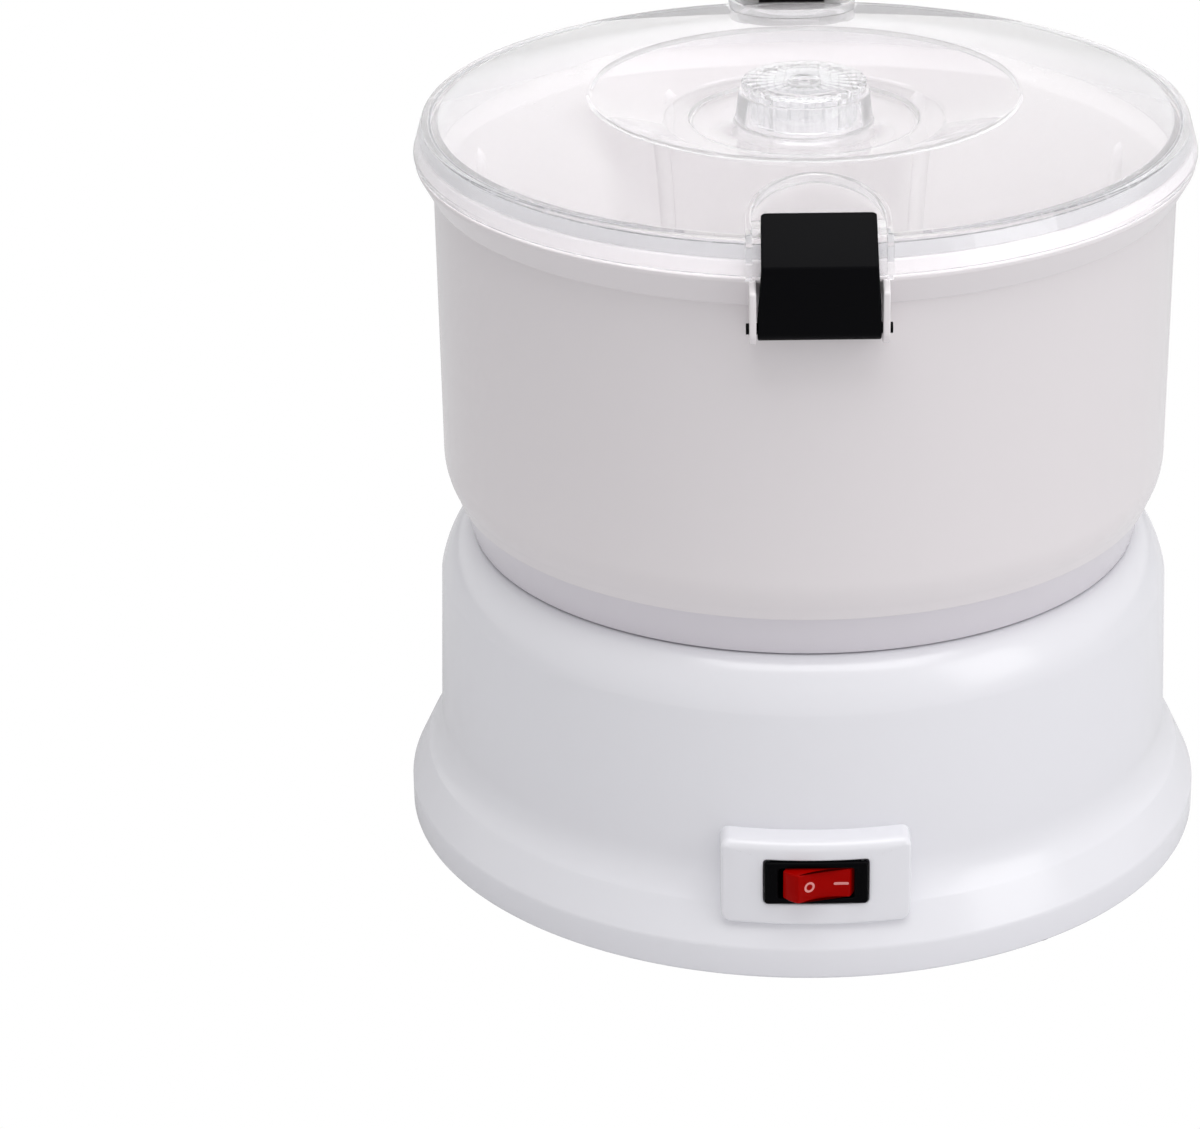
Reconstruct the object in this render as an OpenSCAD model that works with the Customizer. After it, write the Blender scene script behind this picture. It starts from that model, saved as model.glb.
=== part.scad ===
// Electric potato peeler: a motor base, a lift-off bowl with a spinning peeling disc,
// and a clear lid held down by two latches. The front, with the rocker switch, faces -Y.
// Heights called "above the rim" are measured from the line where the lid meets the bowl.

/* [Base] */
// Radius of the base at its upright skirt
base_r = 127.5; // [126.5:0.5:132]
// Height of the base from its bottom edge to the crest round the bowl
base_h = 97.7; // [97:0.1:110]
// Wall of the base shell
base_wall = 2.5; // [2:0.1:3]
// Height of the upright skirt at the bottom of the base
skirt_h = 10; // [7:0.5:12]
// Height of the sloped band above the skirt
band_h = 11.5; // [9:0.5:14]
// How far the sloped band leans in
band_in = 5.5; // [4.5:0.1:6]
// Radius of the hollow curve that joins the band to the wall
flare_r = 22; // [18:1:26]
// How far the wall under the rounded shoulder stands in from the skirt
waist_in = 11.5; // [10.5:0.5:12.5]
// How much wider the wall is at its foot than under the shoulder
base_draft = 1.2; // [0.6:0.1:2]
// Height of the rounded shoulder
shoulder_h = 24; // [20:0.2:28]
// Rounding of the bottom edge of the skirt
edge_r = 1.5; // [0.8:0.1:2]
// How far the well that the bowl drops into stands in from the wall
well_in = 14.5; // [13.8:0.1:15.2]
// Depth of the well below the crest
well_d = 9.2; // [8:0.2:12]
// Radius of the rolled lip round the well
lip_roll = 2.5; // [2:0.1:3]
// Height of the bearing tower above the floor of the well
tower_h = 20; // [16:0.5:24]
// Outer radius of the bearing tower
tower_r = 11; // [10.5:0.1:11.5]

/* [Base plate and feet] */
// Thickness of the plate that closes the base
plate_t = 2.5; // [2:0.1:3.5]
// How far the plate is set up inside the skirt
plate_up = 1; // [0.5:0.1:2]
// Height that the rubber feet lift the base off the worktop
foot_h = 3.5; // [2.5:0.1:5]
// Radius of a rubber foot
foot_r = 7.5; // [6:0.1:8]
// Distance from a foot's outer side to the outside of the skirt
foot_inset = 4.5; // [2.9:0.1:8]
// Angle from the front to the first of the four feet
foot_angle = 36; // [34:1:45]
// Distance of the base screws' ring in from the wall
post_in = 13; // [11:0.5:15]
// Angle of the screw posts from the front and from the back
post_angle = 66; // [60:1:72]
// Radius of a screw post
post_r = 5; // [4.5:0.1:6]
// Radius of the base screws' threads
base_screw_r = 1.6; // [1.2:0.1:2]
// Outer radius of the boss that the power lead leaves by
lead_boss_r = 8; // [7:0.1:9]
// Radius of the hole for the power lead
lead_hole_r = 4.5; // [3.5:0.1:5]
// Height of the lead hole above the bottom edge
lead_hole_up = 30; // [28:0.5:34]

/* [Switch] */
// Width of the raised pad round the switch
pad_w = 57; // [50:0.5:64]
// Height of the raised pad round the switch
pad_h = 27.7; // [26:0.1:30]
// Height of the pad's middle above the bottom edge
pad_up = 31.6; // [30.5:0.1:33]
// How far the pad's curved face stands in from the skirt
pad_in = 1.5; // [0.8:0.1:1.9]
// Rounding of the pad's upper edge
pad_round = 3; // [3:0.5:6]
// Corner radius of the pad
pad_corner = 3; // [2:0.1:4]
// Width of the black switch frame
bezel_w = 31; // [29:0.1:33]
// Height of the black switch frame
bezel_h = 14; // [13.6:0.1:15]
// How much higher than the pad's middle the switch sits
switch_up = 0.7; // [0:0.1:1.5]
// Thickness of the frame's flange
bezel_t = 1.6; // [1.2:0.1:2]
// Depth of the switch body behind the flange
switch_depth = 20; // [17:0.5:24]
// Distance from the rocker's pivot to its rounded ends
rocker_r = 11.9; // [11:0.1:12.2]
// Height of the rocker
rocker_h = 9.4; // [8.6:0.1:9.8]
// How far the rocker tilts each way from its middle place
rocker_tilt = 15; // [11:0.5:15]
// Depth of the rocker's pivot behind the front of the frame
rocker_in = 6.5; // [6:0.1:7]
// Distance from the pivot to the bottom of the hollow in the rocker's face
rocker_waist = 7.4; // [7:0.1:8]

/* [Bowl] */
// Height of the rim line above the base's crest
rim_up = 124.3; // [112:0.1:136]
// How far the bowl's wall stands in from the lid's skirt
bowl_in = 5.8; // [5.2:0.1:6.4]
// How much narrower the wall is at the bottom
bowl_draft = 0.5; // [0.2:0.1:1]
// Wall of the bowl
bowl_wall = 2.6; // [2.2:0.1:3]
// Height of the sloped collar under the rim
collar_h = 9.9; // [8:0.1:12]
// How far the rolled edge under the lid stands in from the lid's skirt
rim_in = 0.4; // [0.2:0.1:1]
// Height of the bowl's rim inside the lid
rim_lip_h = 3.5; // [3:0.1:4]
// Radius of the bend between the wall and the tapered foot
bowl_bend_r = 22; // [16:1:26]
// Taper of the bowl's foot from the upright, in degrees
bowl_taper = 28; // [26:0.1:29]
// Gap between the taper and the lip of the well, where the seam shows
seam_gap = 0.5; // [0.5:0.1:0.8]
// Height of the bowl's floor above the floor of the well
floor_up = 7.4; // [6.5:0.1:9]
// Thickness of the bowl's floor
floor_t = 2.6; // [2:0.1:3.2]
// Outer radius of the chimney in the middle of the bowl
chimney_r = 16; // [15.6:0.1:16.5]
// Height of the chimney above the bowl's floor
chimney_h = 25; // [23:0.5:27]
// Number of tumbling ribs on the inside of the wall
rib_count = 8; // [4:1:12]
// How far a tumbling rib stands out of the wall
rib_out = 2; // [1.2:0.1:2.6]
// Distance between the ears that hold a latch
ear_gap = 35.6; // [34:0.2:38]
// Thickness of an ear
ear_t = 2; // [1.6:0.1:2.6]

/* [Peeling disc] */
// Gap between the disc's edge and the bowl
disc_gap = 3.4; // [2:0.1:6]
// Thickness of the disc
disc_t = 3; // [2.4:0.1:4]
// Height of the disc above the bowl's floor
disc_up = 4.5; // [4:0.1:6]
// Number of throwing humps, and of blades between them
hump_count = 3; // [2:1:4]
// Height of a hump above the disc
hump_h = 6; // [4:0.2:7]
// Radius of a hump's round back
hump_r = 12; // [9:0.5:14]
// Outer radius of the disc's hub at its foot
hub_r = 21; // [20.4:0.1:23]
// Wall of the hub
hub_wall = 2.8; // [2.2:0.1:3]
// Length of a peeling blade
blade_l = 38; // [28:0.5:42]
// Width of a peeling blade
blade_w = 13; // [11:0.5:15]
// Thickness of a blade
blade_t = 1; // [0.8:0.1:1.4]

/* [Drive] */
// Radius of the drive shaft
shaft_r = 5; // [4.5:0.1:5.5]
// Length of the shaft's six-sided end
hex_l = 18; // [14:0.5:20]
// Gap between the six-sided end and its socket
hex_gap = 0.3; // [0.2:0.05:0.5]
// Module of the gears
gear_module = 1.5; // [1.2:0.05:1.6]
// Teeth on the large gear
gear_teeth = 60; // [48:1:64]
// Teeth on the motor's pinion
pinion_teeth = 12; // [12:1:14]
// Width of the large gear's rim
gear_w = 8; // [6:0.5:10]
// Play between the teeth
backlash = 0.3; // [0.2:0.05:0.5]
// Depth of the gear space between the deck and the bracket
gear_space = 26; // [23:0.5:28]
// Thickness of the steel bracket that carries the motor
bracket_t = 2.5; // [2:0.1:3.5]
// Radius of the motor's can
motor_r = 26; // [23:0.5:28]
// Length of the motor's can
motor_l = 44; // [40:0.5:46]
// Wall of the motor's can
can_wall = 1.6; // [1.2:0.1:2]
// Radius of the motor's shaft
motor_shaft_r = 2.5; // [2:0.1:3]
// Blades on the cooling fan
fan_blades = 9; // [5:1:12]

/* [Lid] */
// Radius of the lid at the bottom of its skirt
lid_r = 120; // [119.8:0.1:121]
// How far the lid's upper edge stands in from the bottom of its skirt
lid_edge_in = 2.8; // [2.4:0.1:3.2]
// Height of the lid's skirt
lid_skirt_h = 10.3; // [9.6:0.1:11.5]
// Wall of the lid
lid_wall = 2.2; // [1.8:0.1:2.4]
// Radius of the ridge round the lid's sunken middle
ridge_r = 65.7; // [60:0.5:72]
// Height of the ridge above the rim
ridge_h = 17.2; // [15:0.2:19]
// Radius of the ring at the foot of the sunken middle
ring_r = 43; // [40:0.5:48]
// Radius of the small step inside that ring
step_r = 35; // [30:0.5:38]
// Height of the sunken floor above the rim
dish_h = 7.5; // [6.5:0.1:9]
// Height of the small step
step_h = 1; // [0.6:0.1:1.6]
// Clearance between the lid's inner lip and the bowl
lip_gap = 0.4; // [0.3:0.05:0.7]
// Depth of the lid's inner lip below the rim
lip_down = 3; // [2:0.1:3.4]
// Half the outer width of the upright wall round a latch
arch_r = 20.8; // [20.6:0.1:22.5]
// Thickness of that wall
arch_t = 1.9; // [1.5:0.1:2.2]
// Distance from the axis to the inner end of that wall
arch_in = 80; // [79:0.5:84]
// Length of the wall's round end, measured towards the axis
arch_l = 28; // [24:0.5:28]
// How far that wall stands up from the lid
arch_up = 2.8; // [2:0.1:4]

/* [Lid knob] */
// Radius of the knob's toothed top
knob_r = 19.3; // [18.6:0.1:21]
// Height of the knob above the rim
knob_h = 20.5; // [18.5:0.1:24]
// Number of teeth round the top
knob_teeth = 26; // [16:1:32]
// Radius of the collar that stands round the knob
collar_r = 21.2; // [20.8:0.1:23]
// How much the collar draws in towards its top
collar_in = 1.2; // [0.6:0.1:1.6]
// Wall of the knob
knob_wall = 2; // [1.6:0.1:2.6]
// Radius of the screw that holds the knob
knob_screw_r = 1.75; // [1.4:0.05:2]

/* [Latches] */
// How far the latch's upright face stands out of the lid's skirt
latch_out = 4.3; // [4.1:0.1:5]
// Height of the latch's fold above the rim
fold_up = 4.8; // [4.4:0.1:5.2]
// Length of the leaning upper face
latch_top_l = 17.4; // [16.6:0.1:18]
// Depth of the latch's bottom below the rim
latch_down = 17.7; // [17.2:0.1:19]
// Thickness of the latch
latch_t = 2.4; // [2:0.1:2.6]
// Width of the upper part of the latch
latch_top_w = 33; // [31:0.2:34.4]
// Radius of the latch's round barrel
barrel_r = 3.3; // [3:0.1:3.5]
// Radius of the latch's pin
pin_r = 1.6; // [1.3:0.1:1.8]
// How far one end of the pin stands out of its ear
pin_out = 1.8; // [1:0.1:2.4]

/* [Fits] */
// Radial play of a shaft or pin in its hole
run_gap = 0.05; // [0.03:0.01:0.08]
// Space between pieces that move past each other
move_gap = 0.35; // [0.3:0.05:0.4]

/* [Hidden] */
$fn = 96;

shell_white = "#e9e7ea";
bowl_white = "#dcd6d8";
steel = "#b9bcc0";
bronze = "#a97c4a";
black = "#17171a";
rubber = "#2b2b2d";
clear = [0.93, 0.95, 0.98, 0.45];

// Heights
edge_z = foot_h;
crest_z = edge_z + base_h;
rim_z = crest_z + rim_up;
deck_z = crest_z - well_d;
deck_under_z = deck_z - base_wall;
tower_top_z = deck_z + tower_h;
plate_z = edge_z + plate_up;
bowl_floor_z = deck_z + floor_up;
disc_z = bowl_floor_z + disc_up;
disc_top_z = disc_z + disc_t;
chimney_top_z = bowl_floor_z + chimney_h;
hex_z = tower_top_z + 6;
shaft_top_z = hex_z + hex_l;
hub_top_z = shaft_top_z + move_gap + 4;
bracket_top_z = deck_under_z - gear_space;
bracket_z = bracket_top_z - bracket_t;
gear_z = bracket_top_z + (gear_space - gear_w) / 2;
motor_z = bracket_z - motor_l;

// Radii of the base
waist_r = base_r - waist_in;
well_r = waist_r - well_in;
post_ring_r = waist_r - post_in;
pad_r = base_r - pad_in;
band_r = base_r - band_in;
foot_wall_r = waist_r + base_draft;
flare_h = sqrt(pow(flare_r, 2) - pow(flare_r - (band_r - foot_wall_r), 2));
shoulder_in = waist_r - well_r - lip_roll;
crest_r = well_r + lip_roll;
foot_ring_r = base_r - foot_inset - foot_r;

// The bowl's taper passes the lip of the well at the seam gap
bowl_r = lid_r - bowl_in;
rim_r = lid_r - rim_in;
seam_r = well_r - seam_gap;
seam_z = crest_z - lip_roll * 0.8;
bend_in = bowl_bend_r * (1 - cos(bowl_taper));
bend_h = bowl_bend_r * sin(bowl_taper);
wall_foot_r = bowl_r - bowl_draft;
taper_top_r = wall_foot_r - bend_in;
taper_top_z = seam_z + (taper_top_r - seam_r) / tan(bowl_taper);
bend_z = taper_top_z + bend_h;
foot_z = deck_z + move_gap;
foot_top_z = foot_z + 4;
bowl_foot_r = seam_r - (seam_z - foot_top_z) * tan(bowl_taper);
taper_wall = bowl_wall / cos(bowl_taper);
wall_top_z = rim_z - collar_h;
mouth_r = rim_r - 5.3;
rim_top_z = rim_z + rim_lip_h;

// Inside radius of the bowl's taper at a given height
function taper_in(z) = seam_r + (z - seam_z) * tan(bowl_taper) - taper_wall;

disc_r = taper_in(disc_z) - disc_gap;

// Lid
lid_z = rim_z;
lid_edge_r = lid_r - lid_edge_in;
lip_r = mouth_r - lip_gap;
lip_wall = 1.6;
cone_slope = (ridge_h - lid_skirt_h) / (lid_edge_r - ridge_r);
arch_mid = arch_in + arch_l;
arch_end = lid_r + 1.6;
knob_body_r = collar_r - collar_in - lid_wall - 0.6;
knob_top_t = 2.2;

// Latch
latch_r = lid_r + latch_out;
latch_w = ear_gap - 2 * move_gap;
latch_side = latch_w / 2;
lean = 45;
pivot_r = latch_r - barrel_r;
pivot_down = latch_down - barrel_r;
pin_l = ear_gap + 2 * ear_t + pin_out;
top_r = latch_r - latch_top_l * sin(lean);
top_up = fold_up + latch_top_l * cos(lean);

// Switch
pocket_y = sqrt(pow(pad_r, 2) - pow(bezel_w / 2, 2)) - 0.15;
bezel_y = pocket_y + bezel_t;
pad_z = edge_z + pad_up;
switch_z = pad_z + switch_up;
body_w = bezel_w - 4;
body_h = bezel_h - 2;
rocker_pivot_y = bezel_y - rocker_in;

// Gears
gear_r = gear_module * gear_teeth / 2;
pinion_r = gear_module * pinion_teeth / 2;
motor_y = gear_r + pinion_r;
pressure = 20;

// Points on an arc from one angle to another about a centre
function arc(c, r, from, to, steps) =
    [for (i = [0:steps]) let (a = from + (to - from) * i / steps) c + r * [cos(a), sin(a)]];

// Points on a quarter of an ellipse, from its side to its top
function quarter(c, a, b, steps) =
    [for (i = [0:steps]) let (t = 90 * i / steps) c + [a * cos(t), b * sin(t)]];

function reversed(list) = [for (i = [len(list) - 1:-1:0]) list[i]];

// Rectangle with true round corners, about the origin
module rounded_rect(w, h, r) {
    square([w - 2 * r, h], center = true);
    square([w, h - 2 * r], center = true);
    for (x = [-1, 1], y = [-1, 1])
        translate([x * (w / 2 - r), y * (h / 2 - r)]) circle(r);
}

// Extrudes a shape drawn in (distance from the axis, height) sideways, facing the front
module front_slab(w) {
    rotate([90, 0, -90]) linear_extrude(w, center = true) children();
}

module ring(r_out, r_in, z, h) {
    translate([0, 0, z]) difference() {
        cylinder(h, r = r_out);
        translate([0, 0, -1]) cylinder(h + 2, r = r_in);
    }
}

module at_posts() {
    for (side = [0, 180], turn = [-post_angle, post_angle])
        rotate(side + turn - 90) translate([post_ring_r, 0, 0]) children();
}

module at_feet() {
    for (i = [0:3]) rotate(foot_angle + 90 * i - 90) translate([foot_ring_r, 0, 0]) children();
}

// ---- Base ----

// Outside of the base from its bottom edge to the crest
base_outline = concat(
    arc([base_r - edge_r, edge_z + edge_r], edge_r, -90, 0, 4),
    [[base_r, edge_z + skirt_h]],
    reversed(arc([foot_wall_r + flare_r, edge_z + skirt_h + band_h + flare_h], flare_r,
        180, 180 + asin(flare_h / flare_r), 8)),
    quarter([crest_r, crest_z - shoulder_h], shoulder_in, shoulder_h, 12),
    arc([crest_r, crest_z - lip_roll], lip_roll, 108, 180, 4)
);

// Inside of the base from the crest down to the bottom edge
base_inside = concat(
    reversed(quarter([crest_r, crest_z - shoulder_h], shoulder_in - base_wall,
        shoulder_h - base_wall, 8)),
    [[foot_wall_r - base_wall, edge_z + skirt_h + band_h + flare_h]],
    [[band_r - base_wall, edge_z + skirt_h + band_h - 1]],
    [[base_r - base_wall, edge_z + skirt_h - 1]],
    [[base_r - base_wall, edge_z]]
);

module base_section() {
    polygon(concat(
        base_outline,
        [[well_r, deck_z], [tower_r, deck_z], [tower_r, tower_top_z], [bush_r, tower_top_z],
            [bush_r, deck_under_z - 1.5], [tower_r, deck_under_z - 1.5],
            [tower_r, deck_under_z], [crest_r, deck_under_z]],
        base_inside
    ));
}

bush_r = shaft_r + 3;

// A block at the front between two radii, with round corners when seen from the front
// and a round upper edge when seen from the side
module pad_block(w, h, corner, r_out, r_in, round) intersection() {
    translate([0, 0, pad_z]) rotate([90, 0, 0]) linear_extrude(base_r) rounded_rect(w, h, corner);
    rotate_extrude() polygon(concat(
        [[r_in, pad_z - h], [r_out, pad_z - h]],
        arc([r_out - round, pad_z + h / 2 - round], round, 0, 90, 5),
        [[r_in, pad_z + h / 2]]
    ));
}

module screw_post() {
    translate([0, 0, plate_z + plate_t]) cylinder(deck_under_z - plate_z - plate_t + 1, r = post_r);
    translate([0, -0.9, plate_z + plate_t + 30])
        cube([waist_r - post_ring_r - base_wall / 2, 1.8, deck_under_z - plate_z - 34]);
}

module bracket_posts() {
    for (x = [-1, 1], y = [-1, 1])
        translate([x * bracket_post_x, bracket_post_y + y * bracket_post_span, bracket_top_z])
            cylinder(gear_space + 1, r = post_r);
}

bracket_post_x = gear_r + post_r + 4;
bracket_post_y = motor_y / 2;
bracket_post_span = motor_y / 2 + 8;

module base_shell() color(shell_white) {
    difference() {
        union() {
            rotate_extrude() base_section();
            pad_block(pad_w, pad_h, pad_corner, pad_r, waist_r - base_wall / 2, pad_round);
            at_posts() screw_post();
            bracket_posts();
            translate([0, foot_wall_r - base_wall - 2, edge_z + lead_hole_up]) rotate([-90, 0, 0])
                cylinder(lead_boss_l, r = lead_boss_r);
        }
        pad_block(pad_w - 2 * base_wall, pad_h - 2 * base_wall, 1, pad_r - pad_front_t,
            waist_r - 2 * base_wall, pad_round - base_wall);
        translate([0, -pocket_y, switch_z]) rotate([90, 0, 0])
            linear_extrude(10) rounded_rect(bezel_w + 2 * move_gap, bezel_h + 2 * move_gap, 1);
        translate([-body_w / 2 - 0.1, -base_r, switch_z - body_h / 2 - 0.1])
            cube([body_w + 0.2, base_r - waist_r + 10, body_h + 0.2]);
        at_posts() translate([0, 0, plate_z])
            cylinder(base_screw_l, r = base_screw_r);
        for (x = [-1, 1], y = [-1, 1])
            translate([x * bracket_post_x, bracket_post_y + y * bracket_post_span,
                bracket_top_z - 1]) cylinder(bracket_screw_l, r = base_screw_r);
        translate([0, foot_wall_r - base_wall - 3, edge_z + lead_hole_up]) rotate([-90, 0, 0])
            cylinder(lead_boss_l + 12, r = lead_hole_r);
        // Flat round the lead hole, sunk into the flare
        translate([0, foot_wall_r - base_wall - 2 + lead_boss_l, edge_z + lead_hole_up])
            rotate([-90, 0, 0]) cylinder(12, r = lead_boss_r + 0.5);
    }
}

pad_front_t = 3.7;
lead_boss_l = base_wall + 5;
base_screw_l = 16;
bracket_screw_l = 12;

module base_plate() color(shell_white) difference() {
    translate([0, 0, plate_z]) cylinder(plate_t, r = base_r - base_wall - move_gap);
    at_posts() translate([0, 0, plate_z - 1])
        cylinder(plate_t + 2, r = base_screw_r + 0.3);
    at_feet() translate([0, 0, plate_z - 1])
        cylinder(plate_t + 2, r = foot_stem_r + run_gap);
    // Slots that let the fan draw air in
    for (i = [-4:4]) translate([i * 6, motor_y, plate_z - 1])
        linear_extrude(plate_t + 2) rounded_rect(2.6, 2 * sqrt(900 - pow(i * 6, 2)) - 6, 1.2);
}

foot_stem_r = 3;

module rubber_feet() color(rubber) at_feet() {
    cylinder(1, r1 = foot_r - 0.8, r2 = foot_r);
    translate([0, 0, 1]) cylinder(plate_z - 1, r = foot_r);
    cylinder(plate_z + plate_t, r = foot_stem_r);
    translate([0, 0, plate_z + plate_t]) cylinder(1.6, r1 = foot_stem_r + 1, r2 = foot_stem_r - 1);
}

module base_screws() color(steel) at_posts() {
    difference() {
        translate([0, 0, plate_z - 2.2]) cylinder(2.2, r = 2 * base_screw_r);
        for (a = [0, 90]) rotate(a) translate([-2, -0.4, plate_z - 3]) cube([4, 0.8, 2]);
    }
    translate([0, 0, plate_z - 0.1]) cylinder(base_screw_l - 1, r = base_screw_r - run_gap);
}

// ---- Switch ----

module switch_housing() color(black) difference() {
    union() {
        translate([0, -pocket_y, switch_z]) rotate([90, 0, 0])
            linear_extrude(bezel_t) rounded_rect(bezel_w, bezel_h, 0.8);
        translate([-body_w / 2, -pocket_y, switch_z - body_h / 2])
            cube([body_w, switch_depth, body_h]);
    }
    // Opening in the flange, and the wider space behind it that the rocker swings in
    translate([-opening / 2, -bezel_y - 1, switch_z - rocker_h / 2 - move_gap])
        cube([opening, bezel_t + 2, rocker_h + 2 * move_gap]);
    translate([-rocker_r - move_gap, -pocket_y, switch_z - rocker_h / 2 - move_gap])
        cube([2 * (rocker_r + move_gap), pocket_y - rocker_pivot_y + 5, rocker_h + 2 * move_gap]);
    translate([0, -rocker_pivot_y, switch_z - body_h / 2 + pin_blind])
        cylinder(body_h - 2 * pin_blind, r = rocker_pin_r + run_gap);
}

// The opening clears the rounded ends where they cross the flange's back
opening = 2 * (sqrt(pow(rocker_r, 2) - pow(rocker_in - bezel_t, 2)) + 0.5);
rocker_pin_r = 1.2;
pin_blind = 0.4;

// The rocker seen from above, pivoted at the origin with its face towards -Y
module rocker_plan() {
    toe = rocker_r * [cos(48), sin(48)];
    polygon(concat(
        arc([0, 0], rocker_r, 199, 228, 6),
        [for (i = [1:7]) let (t = i / 4 - 1)
            [t * toe[0], -rocker_waist - (toe[1] - rocker_waist) * t * t]],
        arc([0, 0], rocker_r, 312, 341, 6),
        [[rocker_r * 0.8, -1.5], [3, 3.2], [-3, 3.2], [-rocker_r * 0.8, -1.5]]
    ));
}

module rocker() color("#c5140f") translate([0, -rocker_pivot_y, switch_z]) rotate(rocker_tilt) {
    translate([0, 0, -rocker_h / 2]) linear_extrude(rocker_h) rocker_plan();
    translate([0, 0, -body_h / 2 + pin_blind + 0.1])
        cylinder(body_h - 2 * pin_blind - 0.2, r = rocker_pin_r);
}

module switch_terminals() color(bronze) for (x = [-7, 7])
    translate([x - 0.4, -pocket_y + switch_depth, switch_z - 2.4]) difference() {
        cube([0.8, 8, 4.8]);
        translate([-1, 5, 2.4]) rotate([0, 90, 0]) cylinder(3, r = 0.9);
    }

// ---- Drive ----

module upper_bush() color(bronze)
    ring(bush_r - run_gap, shaft_r + run_gap, deck_under_z - 1.5, tower_h + base_wall + 1.5 - 3);

module shaft_seal() color(rubber) {
    ring(bush_r - run_gap, shaft_r + run_gap, tower_top_z - 2.8, 2.8);
    ring(tower_r - 0.6, shaft_r + run_gap, tower_top_z, 1.6);
}

module drive_shaft() color(steel) difference() {
    union() {
        translate([0, 0, bracket_z - 6]) cylinder(hex_z - bracket_z + 6, r = shaft_r);
        translate([0, 0, hex_z]) cylinder(hex_l - 1, r = shaft_r - 0.05, $fn = 6);
        translate([0, 0, shaft_top_z - 1]) cylinder(1, r = shaft_r - 0.8);
    }
    ring(shaft_r + 1, shaft_r - 0.7, bracket_z - 4.2, 1.1);
}

module shaft_clip() color(steel) difference() {
    ring(shaft_r + 3.4, shaft_r - 0.6, bracket_z - 4.1, 0.9);
    translate([0, -3, bracket_z - 5]) cube([shaft_r + 6, 6, 3]);
}

function inv(a) = tan(a) * 180 / PI - a;

// Angle from a tooth's middle to its flank at radius r
function flank(n, rp, rb, r) =
    90 / n - backlash / 4 / rp * 180 / PI + inv(pressure) - inv(r > rb ? acos(rb / r) : 0);

// A spur gear's outline with one tooth's middle on +X
module gear_outline(n, tip, root) {
    rp = gear_module * n / 2;
    rb = rp * cos(pressure);
    levels = [root, max(root, rb), (max(root, rb) + tip) / 2, tip];
    polygon([for (i = [0:n - 1], side = [-1, 1], k = [0:3])
        let (r = side < 0 ? levels[k] : levels[3 - k], a = 360 / n * i + side * flank(n, rp, rb, r))
            r * [cos(a), sin(a)]]);
}

module large_gear() color("#e8e2d0") difference() {
    union() {
        difference() {
            translate([0, 0, gear_z]) linear_extrude(gear_w)
                gear_outline(gear_teeth, gear_r + 0.74 * gear_module, gear_r - 1.25 * gear_module);
            // The web is thinner than the rim, on both faces
            for (z = [gear_z - 1, gear_z + gear_w - gear_w / 4])
                ring(gear_r - 6, shaft_r + 6, z, gear_w / 4 + 1);
            for (a = [0:60:300]) rotate(a) translate([gear_r * 0.56, 0, gear_z - 1])
                cylinder(gear_w + 2, r = gear_r * 0.13);
        }
        ring(shaft_r + 6, shaft_r, bracket_top_z + bush_flange + move_gap, gear_space
            - bush_flange - 2 * move_gap - 1.5);
    }
    translate([0, 0, bracket_z]) cylinder(gear_space + 9, r = shaft_r + run_gap);
}

bush_flange = 1.5;

module lower_bush() color(bronze) {
    ring(bush_r - 0.5, shaft_r + run_gap, bracket_z - 2.6, bracket_t + 2.6);
    ring(bush_r + 1.5, shaft_r + run_gap, bracket_top_z, bush_flange);
}

// Steel plate with a bore for the lower bush and for the motor's neck
module drive_bracket() color(steel) difference() {
    translate([0, bracket_post_y, bracket_z]) linear_extrude(bracket_t)
        rounded_rect(2 * (bracket_post_x + 7), 2 * (bracket_post_span + 7), 6);
    translate([0, 0, bracket_z - 1]) cylinder(bracket_t + 2, r = bush_r - 0.5 + run_gap);
    translate([0, motor_y, bracket_z - 1]) cylinder(bracket_t + 2, r = motor_neck_r + run_gap);
    for (x = [-1, 1], y = [-1, 1])
        translate([x * bracket_post_x, bracket_post_y + y * bracket_post_span, bracket_z - 1])
            cylinder(bracket_t + 2, r = base_screw_r + 0.3);
    for (x = [-1, 1]) translate([x * motor_screw_x, motor_y, bracket_z - 1])
        cylinder(bracket_t + 2, r = motor_screw_r + 0.2);
    // Lightening windows each side of the shaft
    for (x = [-1, 1]) translate([x * gear_r * 0.62, motor_y * 0.24, bracket_z - 1])
        linear_extrude(bracket_t + 2) rounded_rect(gear_r * 0.42, motor_y * 0.7, 4);
}

motor_neck_r = 6;
motor_screw_x = 13;
motor_screw_r = 1.5;

module bracket_screws() color(steel) for (x = [-1, 1], y = [-1, 1])
    translate([x * bracket_post_x, bracket_post_y + y * bracket_post_span, 0]) {
        translate([0, 0, bracket_z - 2.2]) cylinder(2.2, r = 2 * base_screw_r);
        translate([0, 0, bracket_z - 0.1]) cylinder(bracket_screw_l, r = base_screw_r - run_gap);
    }

// ---- Motor ----

module motor_can() color(steel) translate([0, motor_y, 0]) difference() {
    union() {
        translate([0, 0, motor_z]) cylinder(motor_l, r = motor_r);
        translate([0, 0, bracket_z]) cylinder(bracket_t, r = motor_neck_r);
    }
    translate([0, 0, motor_z - 1]) cylinder(motor_l + 1 - can_wall * 2, r = motor_r - can_wall);
    translate([0, 0, motor_z]) cylinder(motor_l + 9, r = motor_shaft_r + run_gap);
    for (x = [-1, 1]) translate([x * motor_screw_x, 0, bracket_z - 6])
        cylinder(7, r = motor_screw_r);
}

module motor_screws() color(steel) for (x = [-1, 1])
    translate([x * motor_screw_x, motor_y, 0]) {
        translate([0, 0, bracket_top_z]) cylinder(1.6, r = 2 * motor_screw_r);
        translate([0, 0, bracket_z - 2.6]) cylinder(bracket_t + 2.7, r = motor_screw_r - run_gap);
    }

magnet_t = 4;
magnet_z = motor_z + 8;
magnet_h = motor_l - 14;
magnet_slot = 10;

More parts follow.
